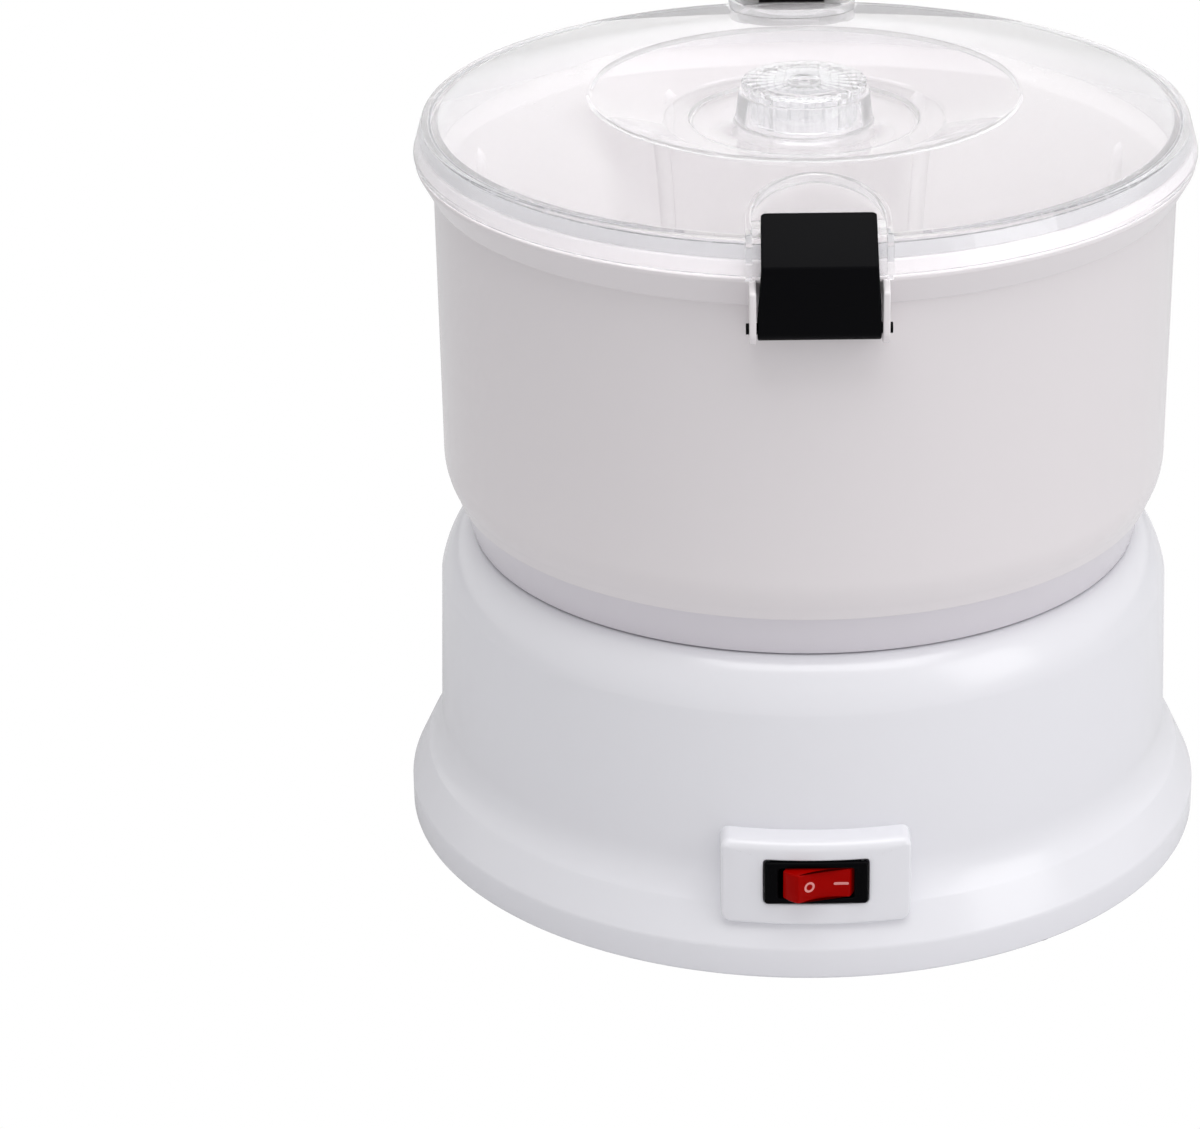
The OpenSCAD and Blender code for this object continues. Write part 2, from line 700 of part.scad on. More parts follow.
module motor_magnets() color("#3a3a3c") translate([0, motor_y, 0]) difference() {
    ring(motor_r - can_wall - run_gap, motor_r - can_wall - magnet_t, magnet_z, magnet_h);
    translate([-motor_r, -magnet_slot / 2, magnet_z - 1])
        cube([2 * motor_r, magnet_slot, magnet_h + 2]);
}

module motor_end_cap() color(black) translate([0, motor_y, 0]) difference() {
    union() {
        translate([0, 0, motor_z - 2]) cylinder(2, r = motor_r);
        ring(motor_r - can_wall - run_gap, motor_r - can_wall - 2, motor_z - 0.1, cap_lip);
        translate([0, 0, motor_z - 2]) cylinder(cap_lip, r = motor_neck_r);
    }
    translate([0, 0, motor_z - 3]) cylinder(9, r = motor_shaft_r + run_gap);
    for (a = [0:60:300]) rotate(a + 30) translate([motor_r * 0.6, 0, motor_z - 3])
        cylinder(6, r = motor_r * 0.14);
}

cap_lip = 5;
motor_shaft_z = plate_z + plate_t + 2;

module motor_shaft() color(steel) translate([0, motor_y, motor_shaft_z])
    cylinder(gear_z + gear_w + 3 - motor_shaft_z, r = motor_shaft_r);

armature_r = motor_r - can_wall - magnet_t - 0.8;

// Stack of slotted iron sheets, with the windings' ends as plain rings
module armature() color("#8c5a35") translate([0, motor_y, 0]) difference() {
    union() {
        difference() {
            translate([0, 0, magnet_z + 3]) cylinder(magnet_h - 6, r = armature_r);
            for (a = [0:45:315]) rotate(a) translate([armature_r - 4, -1, magnet_z])
                cube([6, 2, magnet_h]);
        }
        translate([0, 0, magnet_z]) cylinder(magnet_h, r = armature_r - 5);
    }
    translate([0, 0, magnet_z - 1]) cylinder(magnet_h + 2, r = motor_shaft_r + run_gap);
}

module commutator() color(bronze) translate([0, motor_y, 0]) difference() {
    ring(6, motor_shaft_r + run_gap, motor_z + 3.4, magnet_z - motor_z - 3.8);
    for (a = [0:45:315]) rotate(a) translate([5, -0.3, motor_z + 3]) cube([2, 0.6, 10]);
}

module drive_pinion() color(steel) translate([0, motor_y, gear_z - 0.5]) difference() {
    rotate(180 / pinion_teeth - 90) linear_extrude(gear_w + 1)
        gear_outline(pinion_teeth, pinion_r + gear_module, pinion_r - 1.25 * gear_module);
    translate([0, 0, -1]) cylinder(gear_w + 3, r = motor_shaft_r + run_gap);
}

fan_z = motor_shaft_z + 0.5;
fan_h = motor_z - 2 - fan_z - 1;
fan_r = motor_r * 0.88;

module cooling_fan() color("#d9d9d6") translate([0, motor_y, fan_z]) difference() {
    union() {
        cylinder(fan_h, r = motor_neck_r);
        cylinder(1, r = fan_r);
        for (i = [0:fan_blades - 1]) rotate(i * 360 / fan_blades)
            translate([motor_neck_r - 1, -0.6, 0.5]) cube([fan_r - motor_neck_r, 1.2, fan_h - 0.8]);
    }
    translate([0, 0, -1]) cylinder(fan_h + 2, r = motor_shaft_r + run_gap);
}

// ---- Bowl ----

bowl_outline = concat(
    [[bowl_foot_r, foot_z], [bowl_foot_r, foot_top_z]],
    arc([taper_top_r - bowl_bend_r * cos(bowl_taper), bend_z], bowl_bend_r, -bowl_taper, 0, 5),
    [[bowl_r, wall_top_z - 0.3], [bowl_r + 0.9, wall_top_z], [rim_r, rim_z - 1.7],
        [rim_r, rim_z - 0.5], [lid_r - lid_wall - 0.5, rim_z - 0.5],
        [lid_r - lid_wall - 1.4, rim_top_z]]
);

bowl_inside = concat(
    [[mouth_r, rim_top_z], [mouth_r, rim_z - 3.6], [bowl_r - bowl_wall, wall_top_z]],
    reversed(arc([taper_top_r - bowl_bend_r * cos(bowl_taper), bend_z], bowl_bend_r - bowl_wall,
        -bowl_taper, 0, 4)),
    [[taper_in(bowl_floor_z + 2), bowl_floor_z + 2], [taper_in(bowl_floor_z) - 1.6, bowl_floor_z]],
    [[chimney_r + 1.2, bowl_floor_z], [chimney_r, bowl_floor_z + 1.2],
        [chimney_r, chimney_top_z - 0.8], [chimney_r - 0.8, chimney_top_z],
        [chimney_r - bowl_wall, chimney_top_z], [chimney_r - bowl_wall, bowl_floor_z - floor_t],
        [bowl_foot_r - bowl_wall, bowl_floor_z - floor_t], [bowl_foot_r - bowl_wall, foot_z]]
);

// One ear beside a latch, drawn in (distance from the axis, height)
module ear_outline() {
    translate([pivot_r, rim_z - pivot_down]) circle(barrel_r + 0.5);
    polygon([[bowl_r - bowl_wall / 2, rim_z - latch_down - 2.4],
        [pivot_r, rim_z - pivot_down - barrel_r - 0.5],
        [pivot_r + barrel_r + 0.5, rim_z - pivot_down],
        [pivot_r + barrel_r - 0.2, rim_z - 3],
        [rim_r, rim_z - 0.9], [rim_r - 4, rim_z - 0.9],
        [bowl_r - bowl_wall / 2, wall_top_z]]);
}

module latch_ears() {
    for (x = [-1, 1]) translate([x * (ear_gap + ear_t) / 2, 0, 0]) difference() {
        front_slab(ear_t) ear_outline();
        translate([-ear_t, -pivot_r, rim_z - pivot_down]) rotate([0, 90, 0])
            cylinder(2 * ear_t, r = pin_r + run_gap);
    }
}

// A half-round rib on the inside of the wall, fading out under the collar
module tumbling_rib() intersection() {
    translate([wall_foot_r - bowl_wall + 1, 0, bend_z])
        cylinder(wall_top_z - bend_z - 6, r = rib_out + 1);
    cylinder(wall_top_z, r = wall_foot_r - bowl_wall / 2);
}

module bowl() color(bowl_white) {
    rotate_extrude() polygon(concat(bowl_outline, bowl_inside));
    for (i = [0:rib_count - 1]) rotate((i + 0.5) * 360 / rib_count) tumbling_rib();
    for (a = [0, 180]) rotate(a) latch_ears();
}

// ---- Peeling disc ----

hub_in_r = hub_r - hub_wall;
spigot_r = chimney_r - bowl_wall - 1.6;

module hub() rotate_extrude() polygon(concat(
    [[0, hub_top_z]],
    reversed(arc([hub_r - 7, hub_top_z - 5], 5, 0, 90, 5)),
    [[hub_r - 0.6, disc_top_z + 3], [hub_r + 2.4, disc_top_z - 0.1], [hub_r + 2.4, disc_z],
        [hub_in_r, disc_z], [hub_in_r, hub_roof_z - 4], [hub_in_r - 3, hub_roof_z],
        [spigot_r, hub_roof_z], [spigot_r, spigot_z], [0, spigot_z]]
));

hub_roof_z = chimney_top_z + 3;
spigot_z = hex_z + 1.6;

module hump() intersection() {
    union() {
        translate([hub_r + 8, 0, disc_top_z + hump_h - hump_r]) rotate([0, 90, 0])
            cylinder(disc_r - hump_r - hub_r - 10, r = hump_r);
        translate([disc_r - hump_r - 2, 0, disc_top_z + hump_h - hump_r]) sphere(hump_r);
        translate([hub_r + 8, 0, disc_top_z + hump_h - hump_r]) sphere(hump_r);
    }
    translate([0, 0, disc_top_z - 1]) cylinder(hump_h + 2, r = disc_r);
}

blade_mid_r = (hub_r + disc_r) / 2 + 6;

// Places a blade's own frame: X along the cutting edge's radius, Y along the way it runs
module at_blades() {
    for (i = [0:hump_count - 1]) rotate((i + 0.5) * 360 / hump_count)
        translate([blade_mid_r, 0, disc_top_z]) children();
}

module peel_disc() color("#cfcac4") difference() {
    union() {
        translate([0, 0, disc_z]) cylinder(disc_t - 1, r = disc_r);
        translate([0, 0, disc_z + disc_t - 1]) cylinder(1, r1 = disc_r, r2 = disc_r - 1);
        for (i = [0:hump_count - 1]) rotate(i * 360 / hump_count) hump();
        // Vanes under the disc sweep the peel round
        for (i = [0:hump_count - 1]) rotate((i + 0.25) * 360 / hump_count)
            translate([hub_r + 10, -1, disc_z - disc_up + 1.2])
                cube([disc_r - hub_r - 22, 2, disc_up]);
        hub();
    }
    translate([0, 0, disc_z - disc_up]) cylinder(disc_up + disc_t + 0.1, r = hub_in_r - 0.01);
    translate([0, 0, spigot_z - 1]) cylinder(shaft_top_z + move_gap - spigot_z + 1,
        r = shaft_r + hex_gap / cos(30), $fn = 6);
    at_blades() translate([0, blade_w / 2 + 1.5, -disc_t - 1])
        linear_extrude(disc_t + 2) rounded_rect(blade_l - 8, 5, 2);
    at_blades() for (x = [-1, 1]) translate([x * (blade_l / 2 - 4), -blade_w / 2 + 3.5, -disc_t - 1])
        cylinder(disc_t + 2, r = rivet_r + run_gap);
}

rivet_r = 1.5;

// A blade lies flat on the disc and lifts towards its sharpened edge over the slot
module peel_blades() color(steel) at_blades() difference() {
    rotate([90, 0, 90]) linear_extrude(blade_l, center = true) polygon([
        [-blade_w / 2, 0], [blade_w / 2 - 5, 0], [blade_w / 2 + 1, 1.2], [blade_w / 2 + 1.4, 1.7],
        [blade_w / 2 - 5, blade_t], [-blade_w / 2, blade_t]]);
    for (x = [-1, 1]) translate([x * (blade_l / 2 - 4), -blade_w / 2 + 3.5, -1])
        cylinder(4, r = rivet_r + run_gap);
}

module blade_rivets() color(steel) at_blades()
    for (x = [-1, 1]) translate([x * (blade_l / 2 - 4), -blade_w / 2 + 3.5, 0]) {
        translate([0, 0, -disc_t]) cylinder(disc_t + blade_t, r = rivet_r);
        translate([0, 0, blade_t]) cylinder(0.9, r1 = rivet_r + 1.3, r2 = rivet_r + 0.3);
        translate([0, 0, -disc_t - 0.8]) cylinder(0.8, r1 = rivet_r + 0.3, r2 = rivet_r + 1.2);
    }

// ---- Lid ----

// Height of the lid's cone above the rim at a given radius
function cone_h(r) = lid_skirt_h + (lid_edge_r - r) * cone_slope;

lid_top = [
    [lid_r, 0], [lid_r, 0.9],
    [lid_edge_r + 0.5, lid_skirt_h - 1.2], [lid_edge_r, lid_skirt_h - 0.45],
    [lid_edge_r - 0.8, cone_h(lid_edge_r - 0.8)],
    [ridge_r + 1.2, ridge_h - 0.16], [ridge_r, ridge_h], [ridge_r - 1, ridge_h - 0.35],
    [ring_r + 1, dish_h + step_h + 0.5], [ring_r, dish_h + step_h],
    [step_r + 0.5, dish_h + step_h], [step_r, dish_h]
];

seal_top = lid_skirt_h - lid_wall - 0.2;

lid_under = [
    [step_r - 0.6, dish_h - lid_wall],
    [step_r + 0.2, dish_h + step_h - lid_wall], [ring_r + 0.8, dish_h + step_h - lid_wall],
    [ridge_r - 0.4, ridge_h - lid_wall - 0.3], [ridge_r + 0.8, ridge_h - lid_wall - 0.2],
    [lip_r - lip_wall, cone_h(lip_r - lip_wall) - lid_wall],
    [lip_r - lip_wall, -lip_down], [lip_r - 0.5, -lip_down], [lip_r, -lip_down + 0.6],
    [lip_r, seal_top], [lid_edge_r - lid_wall, seal_top],
    [lid_r - lid_wall, 0.9], [lid_r - lid_wall, 0]
];

knob_collar = [
    [collar_r, dish_h - 0.1], [collar_r - collar_in, knob_h - knob_top_t - 1.2],
    [collar_r - collar_in - lid_wall + 0.6, knob_h - knob_top_t - 1.2],
    [collar_r - lid_wall + 0.6, dish_h - 0.1]
];

// Outline of the upright wall round a latch, drawn in from its outside by an inset
// and seen from above: half an ellipse, then straight legs towards the front
module arch_plan(inset) polygon(concat(
    [for (i = [0:20]) let (t = 9 * i)
        [(arch_r - inset) * cos(t), (arch_l - inset) * sin(t) - arch_mid]],
    [[inset - arch_r, -arch_end - 1], [arch_r - inset, -arch_end - 1]]
));

// Sloped seat that the latch's tip presses on, in (distance from the axis, height)
seat_sum = latch_r + fold_up - latch_t * 1.4143 - 0.5;
seat_rise = 3.6;
seat_in_r = seat_sum - cone_h(top_r - 3) - seat_rise;
module latch_seat() polygon([
    [seat_in_r, cone_h(top_r - 2) - 1],
    [seat_in_r, cone_h(top_r - 3) + seat_rise],
    [seat_sum - lid_skirt_h, lid_skirt_h + 0.2], [lid_r - 1.6, 2.2],
    [lid_r - 1.6 - lid_wall, 2.2 + lid_wall], [lid_edge_r - lid_wall + 0.05, seal_top - 1.4],
    [lid_edge_r - lid_wall + 0.05, seal_top], [lip_r - 0.5, seal_top]
]);

// Space that the latch's plate closes into
module latch_room() polygon([
    [seat_sum - lid_skirt_h, lid_skirt_h + 0.2], [lid_r - 1.6, 2.2], [lid_r - 1.6, -1],
    [lid_r + 9, -1], [lid_r + 9, lid_skirt_h + 9], [seat_sum - lid_skirt_h, lid_skirt_h + 9]
]);

module lid_arch() {
    intersection() {
        linear_extrude(2 * ridge_h) difference() {
            arch_plan(0);
            arch_plan(arch_t);
        }
        // The wall keeps one height above the lid, and its legs hang down the skirt
        rotate_extrude() polygon([
            [arch_in - 3, cone_h(arch_in - 3) - 1], [lid_edge_r - 1, lid_skirt_h - 1.5],
            [lid_r - lid_wall / 2, 0.6], [lid_r - lid_wall / 2, 0], [arch_end, 0],
            [arch_end, lid_skirt_h + arch_up - 2], [lid_r, lid_skirt_h + arch_up - 0.6],
            [lid_edge_r, lid_skirt_h + arch_up], [arch_in - 3, cone_h(arch_in - 3) + arch_up]]);
    }
    intersection() {
        front_slab(2 * (arch_r - arch_t) + 0.2) latch_seat();
        translate([0, 0, -1]) cylinder(2 * ridge_h, r = lid_r);
    }
}

module lid() color(clear) translate([0, 0, lid_z]) {
    difference() {
        union() {
            rotate_extrude()
                polygon(concat(lid_top, [[0, dish_h], [0, dish_h - lid_wall]], lid_under));
            rotate_extrude() polygon(knob_collar);
        }
        for (a = [0, 180]) rotate(a) intersection() {
            front_slab(2 * (arch_r - arch_t)) latch_room();
            linear_extrude(3 * ridge_h, center = true) arch_plan(arch_t);
        }
        translate([0, 0, dish_h - lid_wall - 1]) cylinder(lid_wall + 2, r = knob_screw_r + 0.25);
    }
    for (a = [0, 180]) rotate(a) lid_arch();
}

module lid_seal() color(clear) ring(lid_edge_r - lid_wall - run_gap, lip_r + run_gap,
    rim_top_z + move_gap, lid_z + seal_top - rim_top_z - move_gap);

module lid_knob() color(clear) translate([0, 0, lid_z + dish_h]) difference() {
    union() {
        translate([0, 0, 0.05]) linear_extrude(knob_h - dish_h - knob_top_t) difference() {
            circle(knob_body_r);
            for (i = [0:knob_teeth - 1]) rotate((i + 0.5) * 360 / knob_teeth)
                translate([knob_body_r + 0.6, 0]) circle(1.3);
        }
        translate([0, 0, knob_h - dish_h - knob_top_t]) linear_extrude(knob_top_t) difference() {
            circle(knob_r);
            for (i = [0:knob_teeth - 1]) rotate((i + 0.5) * 360 / knob_teeth)
                translate([knob_r + 0.7, 0]) circle(1.6);
        }
    }
    ring(knob_body_r - knob_wall - 0.7, knob_post_r, -1, knob_h - dish_h - knob_wall + 1);
    translate([0, 0, -1]) cylinder(knob_h - dish_h - 2 * knob_wall, r = knob_screw_r);
    // Finger dimple in the middle of the top
    translate([0, 0, knob_h - dish_h + 9]) sphere(10);
}

knob_post_r = 4.5;
knob_screw_l = 9;

module knob_screw() color(steel) translate([0, 0, lid_z + dish_h - lid_wall]) {
    difference() {
        translate([0, 0, -2]) cylinder(2, r = 2 * knob_screw_r);
        for (a = [0, 90]) rotate(a) translate([-2, -0.4, -3]) cube([4, 0.8, 2]);
    }
    translate([0, 0, -0.1]) cylinder(knob_screw_l, r = knob_screw_r - run_gap);
}

// ---- Latches ----

// A latch drawn in (distance from the axis, height)
module latch_outline() {
    corner = 0.9;
    n = [cos(lean), sin(lean)];
    tip = [top_r, rim_z + top_up];
    fold = [latch_r, rim_z + fold_up];
    polygon([
        [latch_r, rim_z - pivot_down], fold + [0, -corner * 0.4], fold + [-corner * 0.3, corner * 0.3],
        tip + [0.5, -0.5], tip + [-0.2, -0.1], tip - latch_t * n + [-0.1, 0.3], tip - latch_t * n,
        fold - latch_t * [1, tan(lean / 2)], [latch_r - latch_t, rim_z - pivot_down + 2]
    ]);
    translate([pivot_r, rim_z - pivot_down]) circle(barrel_r);
}

module latch() difference() {
    intersection() {
        front_slab(latch_w) latch_outline();
        // The leaning part is narrower, with round corners, when seen from the front
        rotate([90, 0, 0]) linear_extrude(latch_r + 5) {
            translate([0, rim_z + top_up / 2 - 8]) rounded_rect(latch_top_w, top_up + 16.4, 1.6);
            translate([-latch_side, rim_z - latch_down - 1])
                square([latch_w, latch_down - 0.5]);
        }
    }
    translate([-latch_w, -pivot_r, rim_z - pivot_down]) rotate([0, 90, 0])
        cylinder(2 * latch_w, r = pin_r + run_gap);
}

module latch_pin() translate([-pin_l / 2, -pivot_r, rim_z - pivot_down]) rotate([0, 90, 0])
    cylinder(pin_l, r = pin_r);

module latch_front() color(black) latch();
module latch_rear() color(black) rotate(180) latch();
module latch_front_pin() color(black) latch_pin();
module latch_rear_pin() color(black) rotate(180) latch_pin();

base_shell();
base_plate();
rubber_feet();
base_screws();
switch_housing();
rocker();
switch_terminals();
upper_bush();
shaft_seal();
drive_shaft();
shaft_clip();
large_gear();
lower_bush();
drive_bracket();
bracket_screws();
motor_can();
motor_magnets();
motor_end_cap();
motor_screws();
motor_shaft();
armature();
commutator();
drive_pinion();
cooling_fan();
bowl();
peel_disc();
peel_blades();
blade_rivets();
latch_front();
latch_front_pin();
latch_rear();
latch_rear_pin();
lid();
lid_seal();
lid_knob();
knob_screw();
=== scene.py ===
# %% [markdown]
# # An electric potato peeler, dressed for its picture
# The solid model of the peeler is loaded as a fixed frame: every part is already in its
# place, in metres, with +Z up and the switch facing -Y. This lesson adds what a solid
# model lacks: rounded moulded edges, clear plastic that bends light, a fluted knob and
# a finish for every part. Each step says what the real thing is, how it could be made,
# and why one way was chosen.

import bmesh
import bpy
import numpy as np
from mathutils import Matrix


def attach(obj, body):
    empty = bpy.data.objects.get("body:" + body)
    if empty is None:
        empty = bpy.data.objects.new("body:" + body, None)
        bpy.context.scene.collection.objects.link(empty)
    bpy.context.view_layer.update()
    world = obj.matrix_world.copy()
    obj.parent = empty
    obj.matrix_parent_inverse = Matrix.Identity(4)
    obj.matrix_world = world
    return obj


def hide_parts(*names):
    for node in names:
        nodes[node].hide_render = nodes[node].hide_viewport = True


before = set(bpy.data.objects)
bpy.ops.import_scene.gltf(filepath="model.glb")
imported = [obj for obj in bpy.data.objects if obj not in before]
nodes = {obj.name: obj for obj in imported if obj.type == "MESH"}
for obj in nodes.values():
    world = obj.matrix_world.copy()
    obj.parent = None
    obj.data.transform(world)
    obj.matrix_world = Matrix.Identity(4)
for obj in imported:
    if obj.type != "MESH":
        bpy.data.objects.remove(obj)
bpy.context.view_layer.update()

MM = 0.001

# %% [markdown]
# ## The camera comes first
# A picture is matched from one viewpoint, so the camera is settled before any shape.
# It could be placed by eye, but the rim, the seam and the foot of a round object are
# circles, and their ellipses fix the height, the distance and the lens together.
# The camera stands well back with a long lens and looks down by about 23 degrees. It is
# kept as a distance and three small turns, which are easy to read and to change.

# %% Place the camera
IMAGE_WIDTH_PX = 1200
SENSOR_MM = 36.0
FOCAL_PX = 4019.95
ELEVATION = np.radians(23.417)
DISTANCE_MM = 1286.07
AIM_Z_MM = 225.5 - 116.45
SIDE_TURN = np.radians(-2.2)
YAW, PITCH, ROLL = np.radians([2.8727, -1.0735, 0.2347])


def turned_about(vector, axis, angle):
    """Rodrigues' rotation: v cos a + (k x v) sin a + k (k . v)(1 - cos a)."""
    return (
        vector * np.cos(angle)
        + np.cross(axis, vector) * np.sin(angle)
        + axis * np.dot(axis, vector) * (1 - np.cos(angle))
    )


def camera_axes():
    """Returns the camera's right, up and backward directions and its place, in mm."""
    back = np.array([0, -np.cos(ELEVATION), np.sin(ELEVATION)])
    right = np.array([1.0, 0, 0])
    up = np.cross(back, right)
    place = back * DISTANCE_MM + np.array([0, 0, AIM_Z_MM])
    back, right = (turned_about(v, up, YAW) for v in (back, right))
    back, up = (turned_about(v, right, PITCH) for v in (back, up))
    right, up = (turned_about(v, back, ROLL) for v in (right, up))
    upright = np.array([0, 0, 1.0])
    return [turned_about(v, upright, SIDE_TURN) for v in (right, up, back, place)]


right, up, back, place = camera_axes()
camera_data = bpy.data.cameras.new("camera")
camera_data.sensor_width = SENSOR_MM
camera_data.sensor_fit = "HORIZONTAL"
camera_data.lens = FOCAL_PX * SENSOR_MM / IMAGE_WIDTH_PX
camera_data.clip_start, camera_data.clip_end = 0.05, 50
camera = bpy.data.objects.new("camera", camera_data)
matrix = np.eye(4)
matrix[:3, 0], matrix[:3, 1], matrix[:3, 2] = right, up, back
matrix[:3, 3] = place * MM
camera.matrix_world = Matrix(matrix.tolist())
bpy.context.scene.collection.objects.link(camera)
bpy.context.scene.camera = camera
print("camera: lens %.1f mm at" % camera_data.lens, np.round(place * MM, 3), "m")

# %% [markdown]
# ## Shader maths as Python expressions
# Materials here are small sums of noises and masks. Adding and linking each node by
# hand hides the sum, so one small class wraps a node's output and overloads the
# operators, and `0.2 + 0.05 * noise` adds its Math nodes by itself. Any other node comes
# from one method that takes its type, its settings and the values of its inputs.


# %% The graph and its values
class Value:
    """One output of a node. Arithmetic on it adds Math nodes."""

    def __init__(self, graph, socket):
        self.graph, self.socket = graph, socket

    def maths(self, kind, *inputs):
        return self.graph.node("ShaderNodeMath", {"operation": kind}, *inputs)

    def __add__(self, other):
        return self.maths("ADD", self, other)

    def __sub__(self, other):
        return self.maths("SUBTRACT", self, other)

    def __rsub__(self, other):
        return self.maths("SUBTRACT", other, self)

    def __mul__(self, other):
        return self.maths("MULTIPLY", self, other)

    __radd__ = __add__
    __rmul__ = __mul__

    def smoothly(self, low, high, start=0.0, end=1.0):
        """Goes from start to end in an S curve while the value goes from low to high."""
        settings = {"interpolation_type": "SMOOTHSTEP"}
        return self.graph.node("ShaderNodeMapRange", settings, self, low, high, start, end)


class Graph:
    """The node tree of a material or of the world."""

    def __init__(self, tree):
        self.tree = tree
        self.tree.nodes.clear()

    def node(self, kind, settings=None, *inputs, output=0, **named):
        """Adds a node, makes its settings, fills its inputs and returns one output."""
        made = self.tree.nodes.new(kind)
        for name, value in (settings or {}).items():
            setattr(made, name, value)
        filled = list(zip(made.inputs, inputs))
        filled += [(made.inputs[name.replace("_", " ")], v) for name, v in named.items()]
        for socket, value in filled:
            if isinstance(value, Value):
                self.tree.links.new(value.socket, socket)
            elif value is not None:
                socket.default_value = value
        return Value(self, made.outputs[output]) if made.outputs else None

    def place(self, scale=(1, 1, 1), turn=(0, 0, 0)):
        """The object's own coordinates in metres, scaled and turned."""
        where = self.node("ShaderNodeTexCoord", output="Object")
        return self.node("ShaderNodeMapping", None, where, Scale=scale, Rotation=turn)

    def noise(self, per_metre, detail=3.0, rough=0.5, place=None):
        where = place or self.place()
        return self.node(
            "ShaderNodeTexNoise", None,
            Vector=where, Scale=per_metre, Detail=detail, Roughness=rough,
        )

    def mix(self, factor, first, second):
        """A blend of two colours."""
        made = self.tree.nodes.new("ShaderNodeMix")
        made.data_type = "RGBA"
        for index, value in ((0, factor), (6, first), (7, second)):
            if isinstance(value, Value):
                self.tree.links.new(value.socket, made.inputs[index])
            else:
                made.inputs[index].default_value = value
        return Value(self, made.outputs[2])

    def bump(self, height, depth_mm, strength=1.0):
        return self.node(
            "ShaderNodeBump", None, Height=height, Distance=depth_mm * MM, Strength=strength
        )


def colour(red, green, blue):
    return (red, green, blue, 1.0)


def material(name, paint):
    """A new material. paint(graph) returns the shader that covers it."""
    made = bpy.data.materials.new(name)
    made.use_nodes = True
    graph = Graph(made.node_tree)
    graph.node("ShaderNodeOutputMaterial", None, paint(graph))
    return made


print("shader helpers ready")

# %% [markdown]
# ## Moulded white plastic
# The base and the bowl are injection-moulded and glossy. Up close such a skin isn't
# flat: it has a faint orange peel, slow waves where the plastic shrank, and a colour
# that drifts by a shade. A plain white would show none of it, so the colour, the
# roughness and the bump each get their own noise. The bowl's white is a little warmer
# than the base's, as in the picture. The band at its foot is painted a shade darker
# and bluer: painted shade for the band under the bowl's bend. The height alone decides
# where that tint goes, so the inside of the bowl gets it too.


# %% White finishes
def moulded(tint, shade, gloss, peel_per_metre=700, peel_mm=0.002, painted_foot_shade=None):
    """A glossy moulded skin: tint drifts to shade, with orange peel and slow waves.
    painted_foot_shade is a pair (tint, height in mm): below that height the skin has that tint, a
    painted shade."""

    def paint(g):
        drift = g.noise(7, 0)
        tone = g.mix(drift, colour(*tint), colour(*shade))
        # Painted shade: below the given height the colour turns darker and bluer.
        if painted_foot_shade:
            height = g.node("ShaderNodeSeparateXYZ", None, g.place(), output="Z")
            above = height.smoothly((painted_foot_shade[1] - 0.2) * MM, (painted_foot_shade[1] + 0.2) * MM)
            tone = g.mix(above, colour(*painted_foot_shade[0]), tone)
        rough = gloss + 0.04 * g.noise(42, 3) + 0.02 * drift
        waves = g.bump(g.noise(26, 0), 0.03, 0.25)
        peel = g.node(
            "ShaderNodeBump", None, Height=g.noise(peel_per_metre, 1),
            Distance=peel_mm * MM, Strength=0.5, Normal=waves,
        )
        return g.node(
            "ShaderNodeBsdfPrincipled", None, Base_Color=tone, Roughness=rough, Normal=peel,
            IOR=1.5, Coat_Weight=0.25, Coat_Roughness=0.12,
        )

    return paint


BASE_TINT, BASE_SHADE = (0.790, 0.786, 0.824), (0.780, 0.776, 0.817)
BOWL_TINT, BOWL_SHADE = (0.775, 0.735, 0.752), (0.762, 0.722, 0.740)
base_white = material("base_white", moulded(BASE_TINT, BASE_SHADE, 0.205))
# Painted shade: the darker, bluer tint of the bowl's foot band, below 114.8 mm.
FOOT_BAND_PAINTED_SHADE = ((0.700, 0.668, 0.715), 114.8)
bowl_white = material("bowl_white", moulded(BOWL_TINT, BOWL_SHADE, 0.20, painted_foot_shade=FOOT_BAND_PAINTED_SHADE))
plate_white = material("plate_white", moulded(BASE_SHADE, (0.70, 0.70, 0.74), 0.42, 2600, 0.02))
print("white finishes:", base_white.name, bowl_white.name, plate_white.name)

# %% [markdown]
# ## Clear plastic
# The lid and its knob are clear plastic, a little milky from use. A see-through colour
# would be cheap, but it gives none of the bright lines along the edges. So the light is
# bent for real, through walls that have a thickness. Light on its way to the inside goes
# straight, as if the wall were a window, which keeps the inside of the bowl bright. The
# haze is a share of white that scatters light to both sides, as frosted plastic does.


# %% Clear finish
CLEAR_IOR = 1.47
MILK = (0.95, 0.945, 0.95)


def clear_plastic(haze):
    """Polished clear plastic. haze is the share of light that it scatters."""

    def paint(g):
        ripple = g.bump(g.noise(34, 0), 0.02, 0.2)
        scuffs = g.noise(700, 2).smoothly(0.62, 0.8)
        glass = g.node(
            "ShaderNodeBsdfPrincipled", None, Base_Color=colour(0.99, 0.99, 1.0),
            Roughness=0.02 + 0.05 * scuffs, Normal=ripple, IOR=CLEAR_IOR,
            Transmission_Weight=1.0,
        )
        front = g.node("ShaderNodeBsdfDiffuse", None, colour(*MILK))
        behind = g.node("ShaderNodeBsdfTranslucent", None, colour(*MILK))
        milk = g.node("ShaderNodeMixShader", None, 0.5, front, behind)
        body = g.node("ShaderNodeMixShader", None, haze + 0.03 * scuffs, glass, milk)
        window = g.node("ShaderNodeBsdfTransparent", None, colour(0.97, 0.97, 0.975))
        shadow = g.node("ShaderNodeLightPath", output="Is Shadow Ray")
        return g.node("ShaderNodeMixShader", None, shadow, body, window)

    return paint


clear = material("clear_plastic", clear_plastic(0.21))
knob_clear = material("knob_plastic", clear_plastic(0.12))


def soft_seal(g):
    tone = g.mix(g.noise(300, 2), colour(0.86, 0.86, 0.88), colour(0.80, 0.80, 0.83))
    return g.node(
        "ShaderNodeBsdfPrincipled", None, Base_Color=tone, Roughness=0.4, IOR=1.41,
        Transmission_Weight=0.7,
    )


seal_clear = material("clear_seal", soft_seal)
print("clear finishes:", clear.name, knob_clear.name, seal_clear.name)
